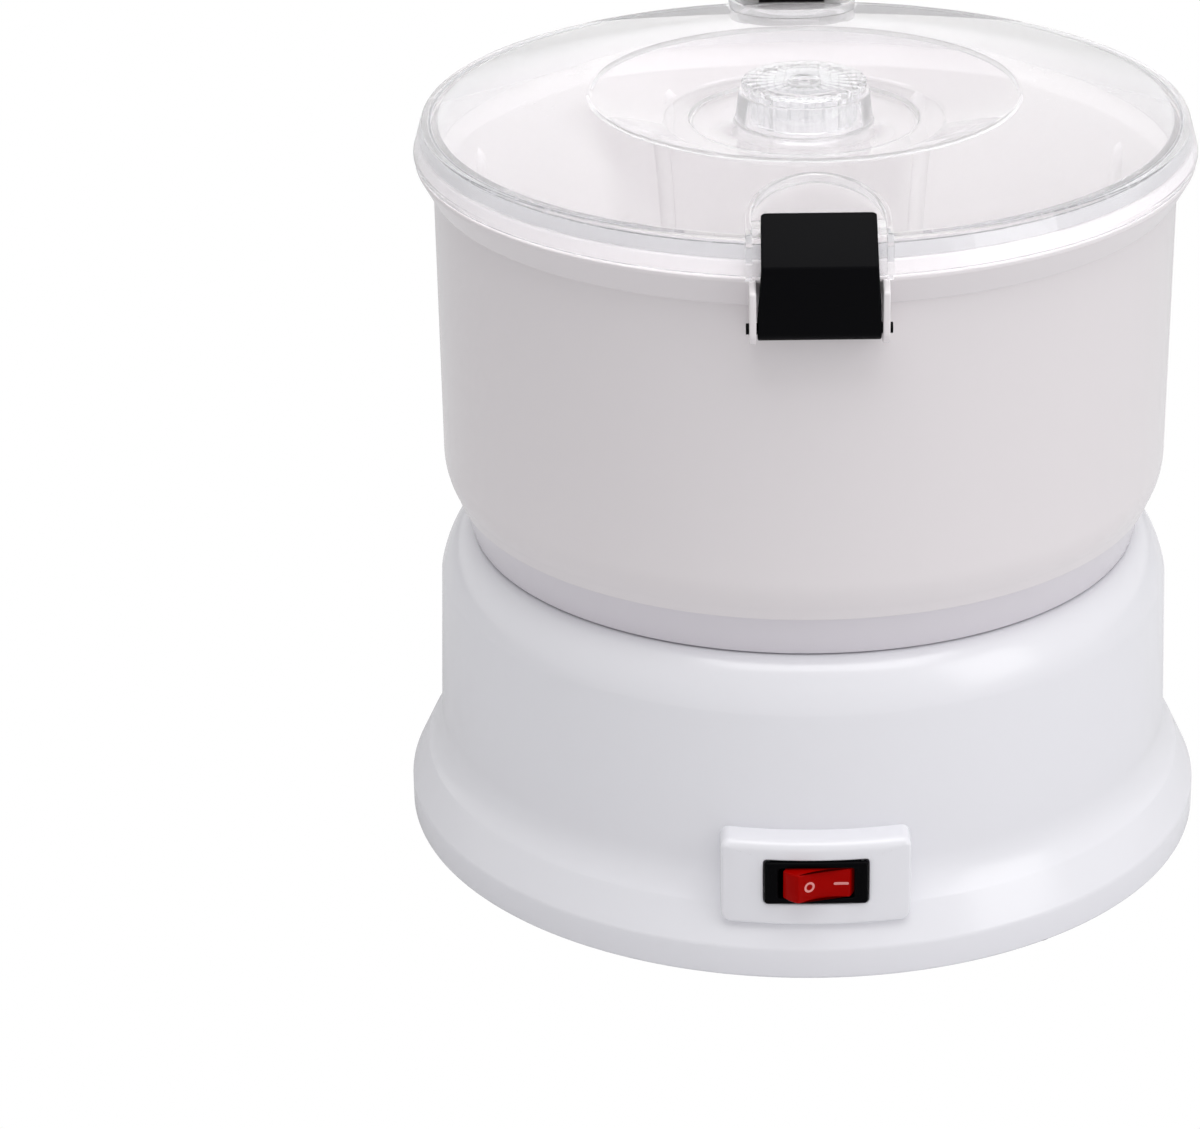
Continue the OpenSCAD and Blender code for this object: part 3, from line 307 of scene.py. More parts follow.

# %% [markdown]
# ## Black latches, red rocker and the metals
# The latches and the switch frame are satin black with a spark-eroded grain that is
# only visible close up. The rocker is a glossy red with a faint painted glow, an
# emission that stands in for light that gets into the plastic. Steel gets fine streaks
# along its rolling direction, bronze bushes have the open pores of pressed powder, and
# the rubber is dull.


# %% Dark and coloured plastics
def grained(tint, gloss, grain_per_metre=2600, grain_mm=0.015, lift=1.35, shine=0.5):
    """Satin plastic: a fine grain in the bump and in the roughness."""

    def paint(g):
        grain = g.noise(grain_per_metre, 3, 0.6)
        tone = g.mix(g.noise(60, 3), colour(*tint), colour(*(c * lift for c in tint)))
        return g.node(
            "ShaderNodeBsdfPrincipled", None, Base_Color=tone, Roughness=gloss + 0.14 * grain,
            Normal=g.bump(grain, grain_mm, 0.5), IOR=1.5, Specular_IOR_Level=shine,
        )

    return paint


def red_with_painted_glow(g):
    tone = g.mix(g.noise(120, 2), colour(0.25, 0.0, 0.0), colour(0.31, 0.001, 0.0))
    return g.node(
        "ShaderNodeBsdfPrincipled", None, Base_Color=tone, Roughness=0.22 + 0.06 * g.noise(400, 2),
        Normal=g.bump(g.noise(900, 2), 0.004, 0.5), IOR=1.5, Specular_IOR_Level=0.03,
        # Painted glow: this faint red emission stands in for light that gets into the plastic.
        Emission_Color=colour(0.8, 0.002, 0.0), Emission_Strength=0.04,
    )


satin_black = material("satin_black", grained((0.0015, 0.0015, 0.002), 0.34, shine=0.04))
switch_paint = grained((0.001, 0.001, 0.0014), 0.3, 3200, 0.008, shine=0.03)
switch_black = material("switch_black", switch_paint)
ferrite = material("ferrite", grained((0.045, 0.045, 0.05), 0.55, 900, 0.04))
rubber = material("rubber", grained((0.02, 0.02, 0.021), 0.68, 1500, 0.05, 1.8))
gear_nylon = material("gear_nylon", grained((0.72, 0.69, 0.58), 0.36, 800, 0.01, 1.05))
fan_nylon = material("fan_nylon", grained((0.62, 0.63, 0.62), 0.40, 900, 0.01, 1.06))
mark_paint = material("mark_paint", grained((0.66, 0.25, 0.24), 0.5, 1200, 0.01, 1.1))
red = material("rocker_red_painted_glow", red_with_painted_glow)
print("plastics: satin_black, switch_black, ferrite, rubber, nylons, red")


# %% Metals
def brushed(tint, gloss, along=(60, 60, 4200), depth_mm=0.004):
    """Metal with streaks: the noise is stretched along the axis with the small scale."""

    def paint(g):
        streak = g.noise(1.0, 4, 0.6, g.place(scale=along))
        stain = g.noise(70, 3).smoothly(0.4, 0.75)
        tone = g.mix(streak, colour(*tint), colour(*(c * 0.82 for c in tint)))
        tone = g.mix(stain * 0.25, tone, colour(*(c * 0.7 for c in tint)))
        return g.node(
            "ShaderNodeBsdfPrincipled", None, Base_Color=tone,
            Roughness=gloss + 0.14 * streak + 0.06 * stain, Metallic=1.0,
            Normal=g.bump(streak, depth_mm, 0.6),
        )

    return paint


def pressed_bronze(g):
    pores = g.noise(2400, 2, 0.7).smoothly(0.55, 0.72)
    tone = g.mix(pores, colour(0.60, 0.40, 0.20), colour(0.22, 0.14, 0.07))
    return g.node(
        "ShaderNodeBsdfPrincipled", None, Base_Color=tone, Roughness=0.34 + 0.25 * pores,
        Metallic=1.0, Normal=g.bump(pores, -0.02, 0.6),
    )


def lacquered_iron(g):
    layers = g.noise(1.0, 2, 0.6, g.place(scale=(20, 20, 2600)))
    tone = g.mix(layers, colour(0.20, 0.12, 0.07), colour(0.34, 0.24, 0.17))
    return g.node(
        "ShaderNodeBsdfPrincipled", None, Base_Color=tone, Roughness=0.42 + 0.2 * layers,
        Metallic=0.75, Normal=g.bump(layers, 0.03, 0.7), Coat_Weight=0.3,
    )


steel = material("bright_steel", brushed((0.66, 0.67, 0.69), 0.18))
sheet_steel = material("sheet_steel", brushed((0.58, 0.60, 0.63), 0.28, (30, 1800, 1800)))
blade_steel = material("blade_steel", brushed((0.74, 0.75, 0.77), 0.14, (1900, 40, 300)))
bronze = material("pressed_bronze", pressed_bronze)
brass = material("contact_brass", brushed((0.78, 0.52, 0.22), 0.22, (900, 900, 60)))
iron = material("lacquered_iron", lacquered_iron)
disc_paint = moulded((0.70, 0.68, 0.655), (0.66, 0.64, 0.62), 0.40, 900, 0.03)
disc_grey = material("disc_plastic", disc_paint)
print("metals: steel, bronze, brass, iron")

# %% Give every CAD part its finish
FINISH = {
    base_white: ["base_shell"],
    plate_white: ["base_plate"],
    bowl_white: ["bowl"],
    clear: ["lid"],
    knob_clear: ["lid_knob"],
    seal_clear: ["lid_seal"],
    satin_black: ["latch_front", "latch_rear", "latch_front_pin", "latch_rear_pin",
                  "motor_end_cap"],
    switch_black: ["switch_housing"],
    red: ["rocker"],
    disc_grey: ["peel_disc"],
    gear_nylon: ["large_gear"],
    fan_nylon: ["cooling_fan"],
    steel: ["base_screws", "drive_shaft", "shaft_clip", "bracket_screws", "motor_screws",
            "motor_shaft", "drive_pinion", "blade_rivets", "knob_screw"],
    sheet_steel: ["drive_bracket", "motor_can"],
    blade_steel: ["peel_blades"],
    bronze: ["upper_bush", "lower_bush"],
    brass: ["switch_terminals", "commutator"],
    ferrite: ["motor_magnets"],
    iron: ["armature"],
    rubber: ["rubber_feet", "shaft_seal"],
}
for finish, names in FINISH.items():
    for name in names:
        nodes[name].data.materials.clear()
        nodes[name].data.materials.append(finish)
missing = sorted(set(nodes) - {n for names in FINISH.values() for n in names})
print("parts finished:", sum(len(v) for v in FINISH.values()), "without a finish:", missing)

# %% [markdown]
# ## Shapes from arrays of points
# A solid model is exact but its edges are knife-sharp, and a real moulding's never are:
# the light that runs along a small rounding is what makes plastic look like plastic.
# Bevelling the imported meshes would be the quick way, but a bevel stumbles over the thin
# triangles that such meshes hold. So each visible piece is drawn again as a grid of
# points: an outline whose corners are rounded by a formula, then turned about an axis or
# carried across. All points of a grid are worked out at once by numpy.
# Lengths are in millimetres here, and become metres when the mesh is made.


# %% Outlines and grids
def filleted(corners, steps=6):
    """Rounds the corners of a closed outline. Each corner is (x, y, radius).

    For unit edges a, b leaving corner p with half the angle h between them, the arc
    touches them at p + a r / tan h and has its centre at p + (a + b) / |a + b| r / sin h.
    """
    rows = np.array(corners, float)
    point = rows[:, :2]
    back, ahead = np.roll(point, 1, 0) - point, np.roll(point, -1, 0) - point
    long_a, long_b = np.linalg.norm(back, axis=1), np.linalg.norm(ahead, axis=1)
    a, b = back / long_a[:, None], ahead / long_b[:, None]
    half = np.arccos(np.clip((a * b).sum(1), -1, 1)) / 2
    half = np.clip(half, 1e-3, np.pi / 2 - 1e-4)
    reach = np.minimum(rows[:, 2] / np.tan(half), 0.49 * np.minimum(long_a, long_b))
    reach = np.maximum(reach, 1e-7)
    middle = a + b
    middle /= np.maximum(np.linalg.norm(middle, axis=1), 1e-9)[:, None]
    centre = point + middle * (reach / np.cos(half))[:, None]
    start = (point + a * reach[:, None] - centre)[:, None]
    end = (point + b * reach[:, None] - centre)[:, None]
    sweep = (np.pi - 2 * half)[:, None, None]
    t = np.linspace(0, 1, steps)[None, :, None]
    arcs = (np.sin((1 - t) * sweep) * start + np.sin(t * sweep) * end) / np.sin(sweep)
    points = (centre[:, None] + arcs).reshape(-1, 2)
    apart = np.linalg.norm(points - np.roll(points, 1, 0), axis=1)
    return points[apart > 1e-3]


def ellipse_part(centre, radii, start, end, steps):
    """Corners without a radius along a part of an ellipse, from start to end degrees."""
    angle = np.radians(np.linspace(start, end, steps))
    x = centre[0] + radii[0] * np.cos(angle)
    y = centre[1] + radii[1] * np.sin(angle)
    return np.stack([x, y, 0 * x], 1).tolist()


def round_rectangle(half_w, half_h, radius, corner_steps=8, side_steps=6):
    """Points and outward normals round a rectangle, anticlockwise from its +X side.

    Corner q is centre_q + radius (cos a, sin a), with a from 90 q to 90 (q + 1) degrees.
    """
    quarter = np.arange(4)[:, None]
    angle = np.radians(90 * quarter + np.linspace(0, 90, corner_steps)[None])
    normal = np.stack([np.cos(angle), np.sin(angle)], -1)
    signs = np.array([[1, 1], [-1, 1], [-1, -1], [1, -1]])[:, None]
    corner = signs * np.array([half_w - radius, half_h - radius]) + radius * normal
    last, ahead = corner[:, -1:], np.roll(corner[:, :1], -1, 0)
    t = (np.arange(1, side_steps + 1) / (side_steps + 1))[None, :, None]
    side = last + (ahead - last) * t
    side_normal = np.repeat(normal[:, -1:], side_steps, 1)
    points = np.concatenate([corner, side], 1).reshape(-1, 2)
    return points, np.concatenate([normal, side_normal], 1).reshape(-1, 2)


def normals_of(outline):
    """Outward unit normals of an anticlockwise outline, from its neighbours' chord."""
    chord = np.roll(outline, -1, 0) - np.roll(outline, 1, 0)
    chord /= np.linalg.norm(chord, axis=1)[:, None]
    return np.stack([chord[:, 1], -chord[:, 0]], 1)


def quads(rows, columns, loop=True):
    """Faces of a grid that closes on itself across its columns, and its rows if loop."""
    index = np.arange(rows * columns).reshape(rows, columns)
    here = index if loop else index[:-1]
    below = np.roll(index, -1, 0) if loop else index[1:]
    faces = [here, np.roll(here, -1, 1), np.roll(below, -1, 1), below]
    return np.stack(faces, -1).reshape(-1, 4).tolist()


def turned(outline, count=240, shift=None):
    """Grid of a closed (r, z) outline turned about Z: (r cos a, r sin a, z).

    shift(r, z, a), if given, is added to r, which gives flutes.
    """
    angle = np.linspace(0, 2 * np.pi, count, endpoint=False)[None]
    r, z = outline[:, :1] + 0 * angle, outline[:, 1:] + 0 * angle
    r = r + (shift(r, z, angle) if shift else 0)
    return np.stack([r * np.cos(angle), r * np.sin(angle), z], -1)


def carried(outline, half_width, edge, steps=5):
    """Grid of an anticlockwise (a, b) outline carried across, with round end edges.

    The ring at angle t stands edge (1 - sin t) short of the end and is drawn in by
    edge (1 - cos t). half_width can differ from point to point.
    """
    t = np.linspace(np.pi / 2, 0, steps)[:, None, None]
    drawn_in = outline[None] - normals_of(outline)[None] * edge * (1 - np.cos(t))
    across = np.broadcast_to(half_width, len(outline))[None, :, None] - edge * (1 - np.sin(t))
    right = np.concatenate([across, drawn_in], -1)
    left = right[::-1] * [-1, 1, 1]
    return np.concatenate([right, left])


print("outline and grid helpers ready")

# %% [markdown]
# ## From a grid to an object
# A turned grid closes on itself both ways. A carried one is open at its two ends, and
# one many-sided face closes each. Coincident points are merged, so that a pole is one
# point, and the faces are turned outwards. Glass needs that: light would bend the
# wrong way through a face that looks inwards. Holes are cut by an exact solid operation,
# which is slower than drawing the hole into the grid but keeps the formulas plain.

# %% Meshes and solid operations
SHARP = np.radians(32)


def built(name, grid, finish, capped=False, loop=True):
    """A closed mesh object from a grid (rows, columns, 3) in millimetres."""
    rows, columns = grid.shape[:2]
    faces = quads(rows, columns, loop and not capped)
    if capped:
        faces += [list(range(columns)), list(range((rows - 1) * columns, rows * columns))]
    mesh = bpy.data.meshes.new(name)
    mesh.from_pydata((grid.reshape(-1, 3) * MM).tolist(), [], faces)
    work = bmesh.new()
    work.from_mesh(mesh)
    bmesh.ops.remove_doubles(work, verts=work.verts, dist=2e-6)
    bmesh.ops.recalc_face_normals(work, faces=work.faces)
    work.to_mesh(mesh)
    work.free()
    mesh.materials.append(finish)
    mesh.shade_smooth()
    mesh.set_sharp_from_angle(angle=SHARP)
    made = bpy.data.objects.new(name, mesh)
    bpy.context.scene.collection.objects.link(made)
    return made


def solid(target, tool, operation="DIFFERENCE"):
    """Cuts target with tool, or joins them, and drops the tool."""
    change = target.modifiers.new("solid", "BOOLEAN")
    change.operation, change.solver, change.object = operation, "EXACT", tool
    ready = target.evaluated_get(bpy.context.evaluated_depsgraph_get())
    mesh = bpy.data.meshes.new_from_object(ready)
    finish = target.data.materials[0]
    target.modifiers.clear()
    target.data = mesh
    mesh.materials.clear()
    mesh.materials.append(finish)
    mesh.set_sharp_from_angle(angle=SHARP)
    bpy.data.objects.remove(tool)
    return target


def turned_to_y(grid, x=0.0, z=0.0):
    """Turns a grid built about Z so that its axis runs along Y, through (x, z)."""
    return np.stack([grid[..., 0] + x, grid[..., 2], grid[..., 1] + z], -1)


def half_turn(grid):
    """Turns a grid by 180 degrees about Z, from the front to the back."""
    return grid * [-1, -1, 1]


def placed(piece, body, slot, *replaced):
    """Says which body a piece moves with and what it stands for. slot is not used."""
    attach(piece, body)
    if replaced:
        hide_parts(*replaced)
    print(piece.name, "rides on", body, "with", len(piece.data.polygons), "faces")
    return piece


# %% [markdown]
# ## Base
# One outline makes the base: a short upright skirt, a sloped band that catches the light,
# a hollow flare, the wall, and a shoulder that rolls into the well. The shoulder is a part
# of an ellipse that starts at an angle, so a faint crease shows where it leaves the wall.
# The well and the bearing tower belong to the same outline, so the inside is right too.
# Posts for the screws stand inside.

# %% Build the base
FOOT, CREST, DECK = 3.5, 101.2, 92.0
BASE_R, BAND_R, WALL_FOOT_R, WAIST_R, WELL_R = 127.5, 122.0, 117.2, 116.0, 101.5
WALL, LIP = 2.5, 2.5
FLARE_R, FLARE_H = 22.0, 13.71
LIP_R = WELL_R + LIP
SHOULDER_H, SHOULDER_IN = 24.0, WAIST_R - LIP_R
CREASE_R, CREASE_H, CREASE_TURN = 115.7, 85.5, 25
side, rise = np.cos(np.radians(CREASE_TURN)), 1 - np.sin(np.radians(CREASE_TURN))
crown = ((CREASE_R - LIP_R) / side, (CREST - CREASE_H) / rise)
flare = ellipse_part((WALL_FOOT_R + FLARE_R, 25 + FLARE_H), (FLARE_R, FLARE_R), 214, 180, 9)
shoulder = ellipse_part((LIP_R, CREST - crown[1]), crown, CREASE_TURN, 90, 24)
lip = ellipse_part((LIP_R, CREST - LIP), (LIP, LIP), 96, 180, 8)
inner_shoulder = ellipse_part(
    (LIP_R, CREST - SHOULDER_H), (SHOULDER_IN - WALL, SHOULDER_H - WALL), 90, 0, 12
)
base_outline = filleted(
    [(BASE_R - WALL, FOOT, 0.4), (BASE_R, FOOT, 1.5), (BASE_R, 13.5, 3.5), (BAND_R, 25, 4)]
    + flare + shoulder + lip
    + [(WELL_R, DECK, 1), (11, DECK, 1.5), (11, 112, 0.6), (8, 112, 0.4), (8, 88, 0.3),
       (11, 88, 0.3), (11, 89.5, 0.5), (LIP_R, 89.5, 0.5)]
    + inner_shoulder
    + [(114.7, 38.7, 4), (119.5, 24, 2), (BASE_R - WALL, 12.5, 1)]
)
base_body = built("base_body", turned(base_outline), base_white)


def block(half_w, half_h, depth, y, z, radius=0.5, name="block"):
    """A round-cornered block that runs along Y from y to y + depth, for cutting."""
    points, _ = round_rectangle(half_w, half_h, radius, 4, 1)
    rings = [np.insert(points, 1, place, axis=1) for place in (y, y + depth)]
    return built(name, np.array(rings) + [0, 0, z], base_white, capped=True)


SWITCH_Z, PAD_Z, LEAD_Z = 35.8, 35.1, 33.5
solid(base_body, block(13.6, 6.1, 30, -130, SWITCH_Z))
boss_outline = filleted(
    [(4.5, 112.7, 0.3), (8, 112.7, 0.3), (8, 120.2, 0.8), (4.5, 120.2, 0.6)]
)
hole = np.array([(0, 108.0), (7.7, 108.0), (7.7, 132.0), (0, 132.0)])
solid(base_body, built("hole", turned_to_y(turned(hole, 64), z=LEAD_Z), base_white))
lead_boss = built("lead_boss", turned_to_y(turned(boss_outline, 96), z=LEAD_Z), base_white)
placed(base_body, "base", "base_white", "base_shell")
placed(lead_boss, "base", "base_white")

post = filleted([(0, 6.6, 0), (5, 6.6, 0.3), (5, 91, 0), (0, 91, 0)])
bracket_post = post * [1, 0] + (post[:, 1:] - 6.6) * [0, 26.5 / 84.4] + [0, 63.6]
for number, angle in enumerate(np.radians([24, 156, 204, 336])):
    stand = turned(post, 48) + [103 * np.cos(angle), 103 * np.sin(angle), 0]
    placed(built("screw_post_%d" % number, stand, base_white), "base", "base_white")
for number, (x, y) in enumerate([(54, -8), (54, 62), (-54, 62), (-54, -8)]):
    stand = turned(bracket_post, 48) + [x, y, 0]
    placed(built("bracket_post_%d" % number, stand, base_white), "base", "base_white")

# %% [markdown]
# ## Switch pad, frame and rocker
# The pad is a grid of rings. Each ring is a round-cornered rectangle bent onto a cylinder:
# the first lies inside the wall, the next ones climb the side and round over the edge,
# and the last ones pass through the opening. The upper edge has a bigger rounding than
# the sides, which is what throws the bright line above the switch. So the rounding grows
# with the square of the normal's upward part.

# %% Build the pad and the switch
PAD_R, PAD_ROOT_R, PAD_W, PAD_H = 126.0, 113.5, 57.0, 27.7
pad_points, pad_normals = round_rectangle(PAD_W / 2, PAD_H / 2, 3, 10, 10)
hole_points, hole_normals = round_rectangle(15.8, 7.3, 1, 10, 10)
rounding = (1.1 + 1.8 * np.clip(pad_normals[:, 1], 0, 1) ** 2)[:, None]


def on_cylinder(points, radius, z):
    """Bends (x, z) points onto an upright cylinder: y = -sqrt(radius^2 - x^2)."""
    x = points[:, :1]
    return np.concatenate([x, -np.sqrt(radius**2 - x**2), points[:, 1:] + z], 1)


pad_rings = [on_cylinder(pad_points, PAD_ROOT_R, PAD_Z)]
for t in np.linspace(0, np.pi / 2, 8):
    drawn_in = pad_points - pad_normals * rounding * (1 - np.cos(t))
    pad_rings.append(on_cylinder(drawn_in, PAD_R - rounding * (1 - np.sin(t)), PAD_Z))
face_edge = pad_points - pad_normals * rounding + [0, PAD_Z - SWITCH_Z]
for share in (0.3, 0.6, 0.9):
    between = face_edge + (hole_points + hole_normals * 0.5 - face_edge) * share
    pad_rings.append(on_cylinder(between, PAD_R, SWITCH_Z))
for t in np.linspace(0, np.pi / 2, 4):
    spread = hole_points + hole_normals * 0.5 * (1 - np.sin(t))
    pad_rings.append(on_cylinder(spread, PAD_R - 0.5 * (1 - np.cos(t)), SWITCH_Z))
pad_rings.append(on_cylinder(hole_points, PAD_ROOT_R, SWITCH_Z))
switch_pad = built("switch_pad", np.array(pad_rings), base_white)
placed(switch_pad, "base", "base_white")

FRAME_Y, FLANGE, PIVOT_Y = -126.493, 1.6, -119.993
OPENING, ROCKER_R, ROCKER_H = 11.34, 11.9, 9.4


def ring_at(half_w, half_h, radius, y):
    """A round-cornered rectangle at one depth, facing -Y."""
    points, _ = round_rectangle(half_w, half_h, radius, 8, 4)
    return np.insert(points, 1, y, axis=1) + [0, 0, SWITCH_Z]


back_y = FRAME_Y + FLANGE
frame_rings = [ring_at(13.4, 5.9, 0.4, back_y + 20), ring_at(13.5, 6.0, 0.5, back_y + 19.9)]
frame_rings += [ring_at(13.5, 6.0, 0.5, back_y), ring_at(15.5, 7.0, 1.1, back_y)]
frame_rings += [
    ring_at(15.5 - 0.7 * (1 - c), 7.0 - 0.7 * (1 - c), 1.1, FRAME_Y + 0.7 * (1 - s))
    for c, s in zip(np.cos(np.linspace(0, 1.571, 6)), np.sin(np.linspace(0, 1.571, 6)))
]
frame_rings += [
    ring_at(OPENING + 0.5 * (1 - s), 5.05 + 0.5 * (1 - s), 0.9, FRAME_Y + 0.5 * (1 - c))
    for c, s in zip(np.cos(np.linspace(0, 1.571, 5)), np.sin(np.linspace(0, 1.571, 5)))
]
frame_rings += [ring_at(OPENING, 5.05, 0.9, back_y), ring_at(12.25, 5.05, 0.5, back_y + 0.1)]
frame_rings += [ring_at(12.25, 5.05, 0.5, PIVOT_Y + 5)]
switch_frame = built("switch_frame", np.array(frame_rings), switch_black, capped=True)
placed(switch_frame, "base", "black", "switch_housing")

TILT = np.radians(15)
toe = ROCKER_R * np.array([np.cos(np.radians(48)), np.sin(np.radians(48))])


def hollow_face(x):
    """Depth of the rocker's face in front of its pivot: 7.4 + (toe - 7.4) (x / toe)^2."""
    return 7.4 + (toe[1] - 7.4) * (x / toe[0]) ** 2


def tilted(grid):
    """Turns a grid drawn about the rocker's pivot to its rest tilt and into place."""
    x, y = grid[..., 0], grid[..., 1]
    turned_x = x * np.cos(TILT) - y * np.sin(TILT)
    turned_y = x * np.sin(TILT) + y * np.cos(TILT)
    return np.stack([turned_x, turned_y + PIVOT_Y, grid[..., 2] + SWITCH_Z], -1)


face_x = np.linspace(-toe[0] + 0.6, toe[0] - 0.6, 17)
face = np.stack([face_x, -hollow_face(face_x), 0 * face_x], 1).tolist()
right_end = ellipse_part((0, 0), (ROCKER_R, ROCKER_R), -45, -19, 8)
left_end = ellipse_part((0, 0), (ROCKER_R, ROCKER_R), 199, 225, 8)
plan = filleted(
    left_end + [(-toe[0], -toe[1], 0.5)] + face + [(toe[0], -toe[1], 0.5)] + right_end
    + [(9.5, -1.5, 0.8), (3, 3.2, 1), (-3, 3.2, 1), (-9.5, -1.5, 0.8)]
)
cap_grid = carried(plan, ROCKER_H / 2, 0.55)[..., [1, 2, 0]]
rocker_cap = built("rocker_cap", tilted(cap_grid), red, capped=True)
placed(rocker_cap, "rocker", "switch_red", "rocker")


def mark(name, grid):
    """Lays a flat grid (x, height, z) on the hollow face and tilts it with the rocker."""
    x = grid[..., 0]
    laid = np.stack([x, -hollow_face(x) - grid[..., 1], grid[..., 2]], -1)
    return placed(built(name, tilted(laid), mark_paint), "rocker", "switch_red")


tube = np.radians(np.arange(0, 360, 30))
section = np.stack([1.35 + 0.36 * np.cos(tube), 0.06 * np.sin(tube)], 1)
ring_grid = turned(section, 64)[..., [0, 2, 1]] + [-4.3, 0, 0]
mark("ring_mark", ring_grid)
bar_points, bar_normals = round_rectangle(2.2, 0.42, 0.4, 6, 6)
heights = [(-0.06, 0.0), (0.03, 0.0), (0.06, 0.12), (0.06, 0.39)]
bar_rings = [
    np.insert(bar_points - bar_normals * drawn, 1, up, axis=1) for up, drawn in heights
]
bar_rings.append(np.array(bar_rings[0]) * [1, 0, 0.05] + [0, -0.06, 0])
mark("bar_mark", np.array(bar_rings) + [5.5, 0, 0])

# %% [markdown]
# ## Bowl
# The bowl is one outline too: a foot that sits in the well, a band that ends in a small
# step over the seam, a long bend, the wall, the sloped collar and the rim that goes up
# inside the lid. The step and painted shade, the band's darker and bluer tint, draw the
# soft dark line above the seam.
# Half-round ribs on the inside tumble the potatoes. The ears for the latches are
# carried across, like the latches themselves.

# %% Build the bowl
RIM = 225.5
bend = (91.70, 128.57)
bowl_outline = filleted(
    [(99.48, 92.35, 0.6), (99.48, 96.35, 0.8), (100.8, 99.2, 0.3), (101.4, 101.7, 0.3),
     (105.2, 101.7, 0.5), (108.4, 114.5, 0.4), (109.9, 114.9, 0.5)]
    + ellipse_part(bend, (22, 22), -29, 0, 12)
    + [(114.2, RIM - 10.2, 0.6), (115.1, RIM - 9.9, 0.5), (119.6, RIM - 1.7, 0.9),
       (119.6, RIM - 0.5, 0.4), (117.3, RIM - 0.5, 0.4), (116.4, RIM + 3.5, 0.6),
       (114.3, RIM + 3.5, 0.6), (114.3, RIM - 3.6, 2), (111.6, RIM - 9.9, 3)]
    + ellipse_part(bend, (19.4, 19.4), 0, -28, 8)
    + [(98.9, 101.0, 2.5), (96.56, 99.4, 2), (17.2, 99.4, 1.2), (16, 100.6, 0.4),
       (16, 123.6, 0.4), (15.2, 124.4, 0.4), (13.4, 124.4, 0.5), (13.4, 96.8, 0.4),
       (96.88, 96.8, 0.5), (96.88, 92.35, 0.5)]
)
bowl_body = built("bowl_body", turned(bowl_outline), bowl_white)
placed(bowl_body, "bowl", "bowl_white", "bowl")

RIB_COUNT, RIB_FOOT_Z, RIB_TOP_Z = 8, 129, RIM - 16
along, round_it = np.linspace(0, 1, 24)[:, None], np.radians(np.arange(0, 360, 15))[None]
swell = np.sqrt(np.clip(1 - (2 * along - 1) ** 12, 0, 1))
rib_x = 3.0 * np.cos(round_it) * swell
inward = np.where(np.sin(round_it) > 0, 3.2 * np.sin(round_it) * swell, np.sin(round_it) * 0.8)
rib_z = RIB_FOOT_Z + (RIB_TOP_Z - RIB_FOOT_Z) * along + 0 * round_it
for number in range(RIB_COUNT):
    angle = np.radians((number + 0.5) * 360 / RIB_COUNT)
    reach = 112.3 - inward
    x = reach * np.cos(angle) - rib_x * np.sin(angle)
    y = reach * np.sin(angle) + rib_x * np.cos(angle)
    rib = built("tumbling_rib_%d" % number, np.stack([x, y, rib_z], -1), bowl_white, capped=True)
    placed(rib, "bowl", "bowl_white")

PIVOT_R, PIVOT_Z, EAR_X = 121.0, 211.1, 18.8
ear_outline = filleted(
    [(112.9, 205.4, 0.3), (122.0, 206.6, 3.6), (124.9, 209.4, 3), (124.1, 222.5, 1.2),
     (119.6, 224.6, 0.6), (115.6, 224.6, 0.3), (112.9, 215.6, 0.3)]
)


def pin_hole(half_length, radius=1.65):
    """A rod along X through the latch's pivot, for cutting."""
    rod = [(0, -half_length), (radius, -half_length), (radius, half_length), (0, half_length)]
    return turned(np.array(rod), 48)[..., [2, 0, 1]] + [0, -PIVOT_R, PIVOT_Z]


def to_front(grid):
    """Takes (across, distance from the axis, height) to the front of the object."""
    return grid * [1, -1, 1]


for side in (-1, 1):
    for back in (False, True):
        grid = to_front(carried(ear_outline, 1.0, 0.45)) + [side * EAR_X, 0, 0]
        hole = pin_hole(30)
        if back:
            grid, hole = half_turn(grid), half_turn(hole)
        name = "ear_%s_%s" % ("rear" if back else "front", "left" if side < 0 else "right")
        ear = solid(built(name, grid, bowl_white, capped=True), built("hole", hole, bowl_white))
        placed(ear, "bowl", "bowl_white")

# %% [markdown]
# ## Latches
# A latch is bent plate: an upright face, a fold, and a face that leans in by 45 degrees
# over the lid. Its lower edge is a barrel round the pin. One outline, seen from the side,
# is carried across. The half width changes along the outline, because the leaning part
# is a little narrower and has round corners.

# %% Build the latches
latch_outline = filleted(
    [(124.3, 207.8, 3.25), (124.3, 230.3, 1.4), (112.0, 242.6, 0.9), (110.3, 240.9, 0.9),
     (121.9, 229.3, 1.2), (121.9, 214.3, 1.0), (117.7, 214.3, 3.0), (117.7, 207.8, 3.25)], 8
)
from_tip = (latch_outline[:, 0] - 111.15) * 0.7071 + (241.75 - latch_outline[:, 1]) * 0.7071
height = latch_outline[:, 1]
near_tip = np.clip(1.7 - from_tip, 0, 1.7)
half_width = 17.45 - 0.95 * np.clip((height - 224) / 3, 0, 1)
half_width = half_width - (1.7 - np.sqrt(1.7**2 - near_tip**2)) * (height > 235)
latch_grid = to_front(carried(latch_outline, half_width, 0.5))
for name, grid, hole in (
    ("latch_front", latch_grid, pin_hole(30)),
    ("latch_rear", half_turn(latch_grid), half_turn(pin_hole(30))),
):
    latch = built(name + "_body", grid, satin_black, capped=True)
    solid(latch, built("hole", hole, satin_black))
    placed(latch, name, "black", name)

# %% [markdown]
# ## Lid and knob
# The lid's outline climbs a short skirt, runs up a shallow cone to the ridge, falls into
# the sunken middle and stands up again as the collar round the knob. Clear plastic shows
# both of its sides, so the outline has a wall thickness all the way. The upright wall
# round each latch follows half an ellipse and keeps one height above the cone. It and the
# two pads that the latch presses on are joined to the lid as one solid, because glass with
# a hidden face inside would glint. Between the pads the rear latch shows through.

# %% Build the lid
LID_R, EDGE_R, SKIRT, LID_WALL = 120.0, 117.2, 10.3, 2.2
SLOPE = (17.2 - SKIRT) / (EDGE_R - 65.7)


def cone(r):
    """Height of the lid's cone above the rim: skirt + (edge radius - r) slope."""
    return SKIRT + (EDGE_R - r) * SLOPE


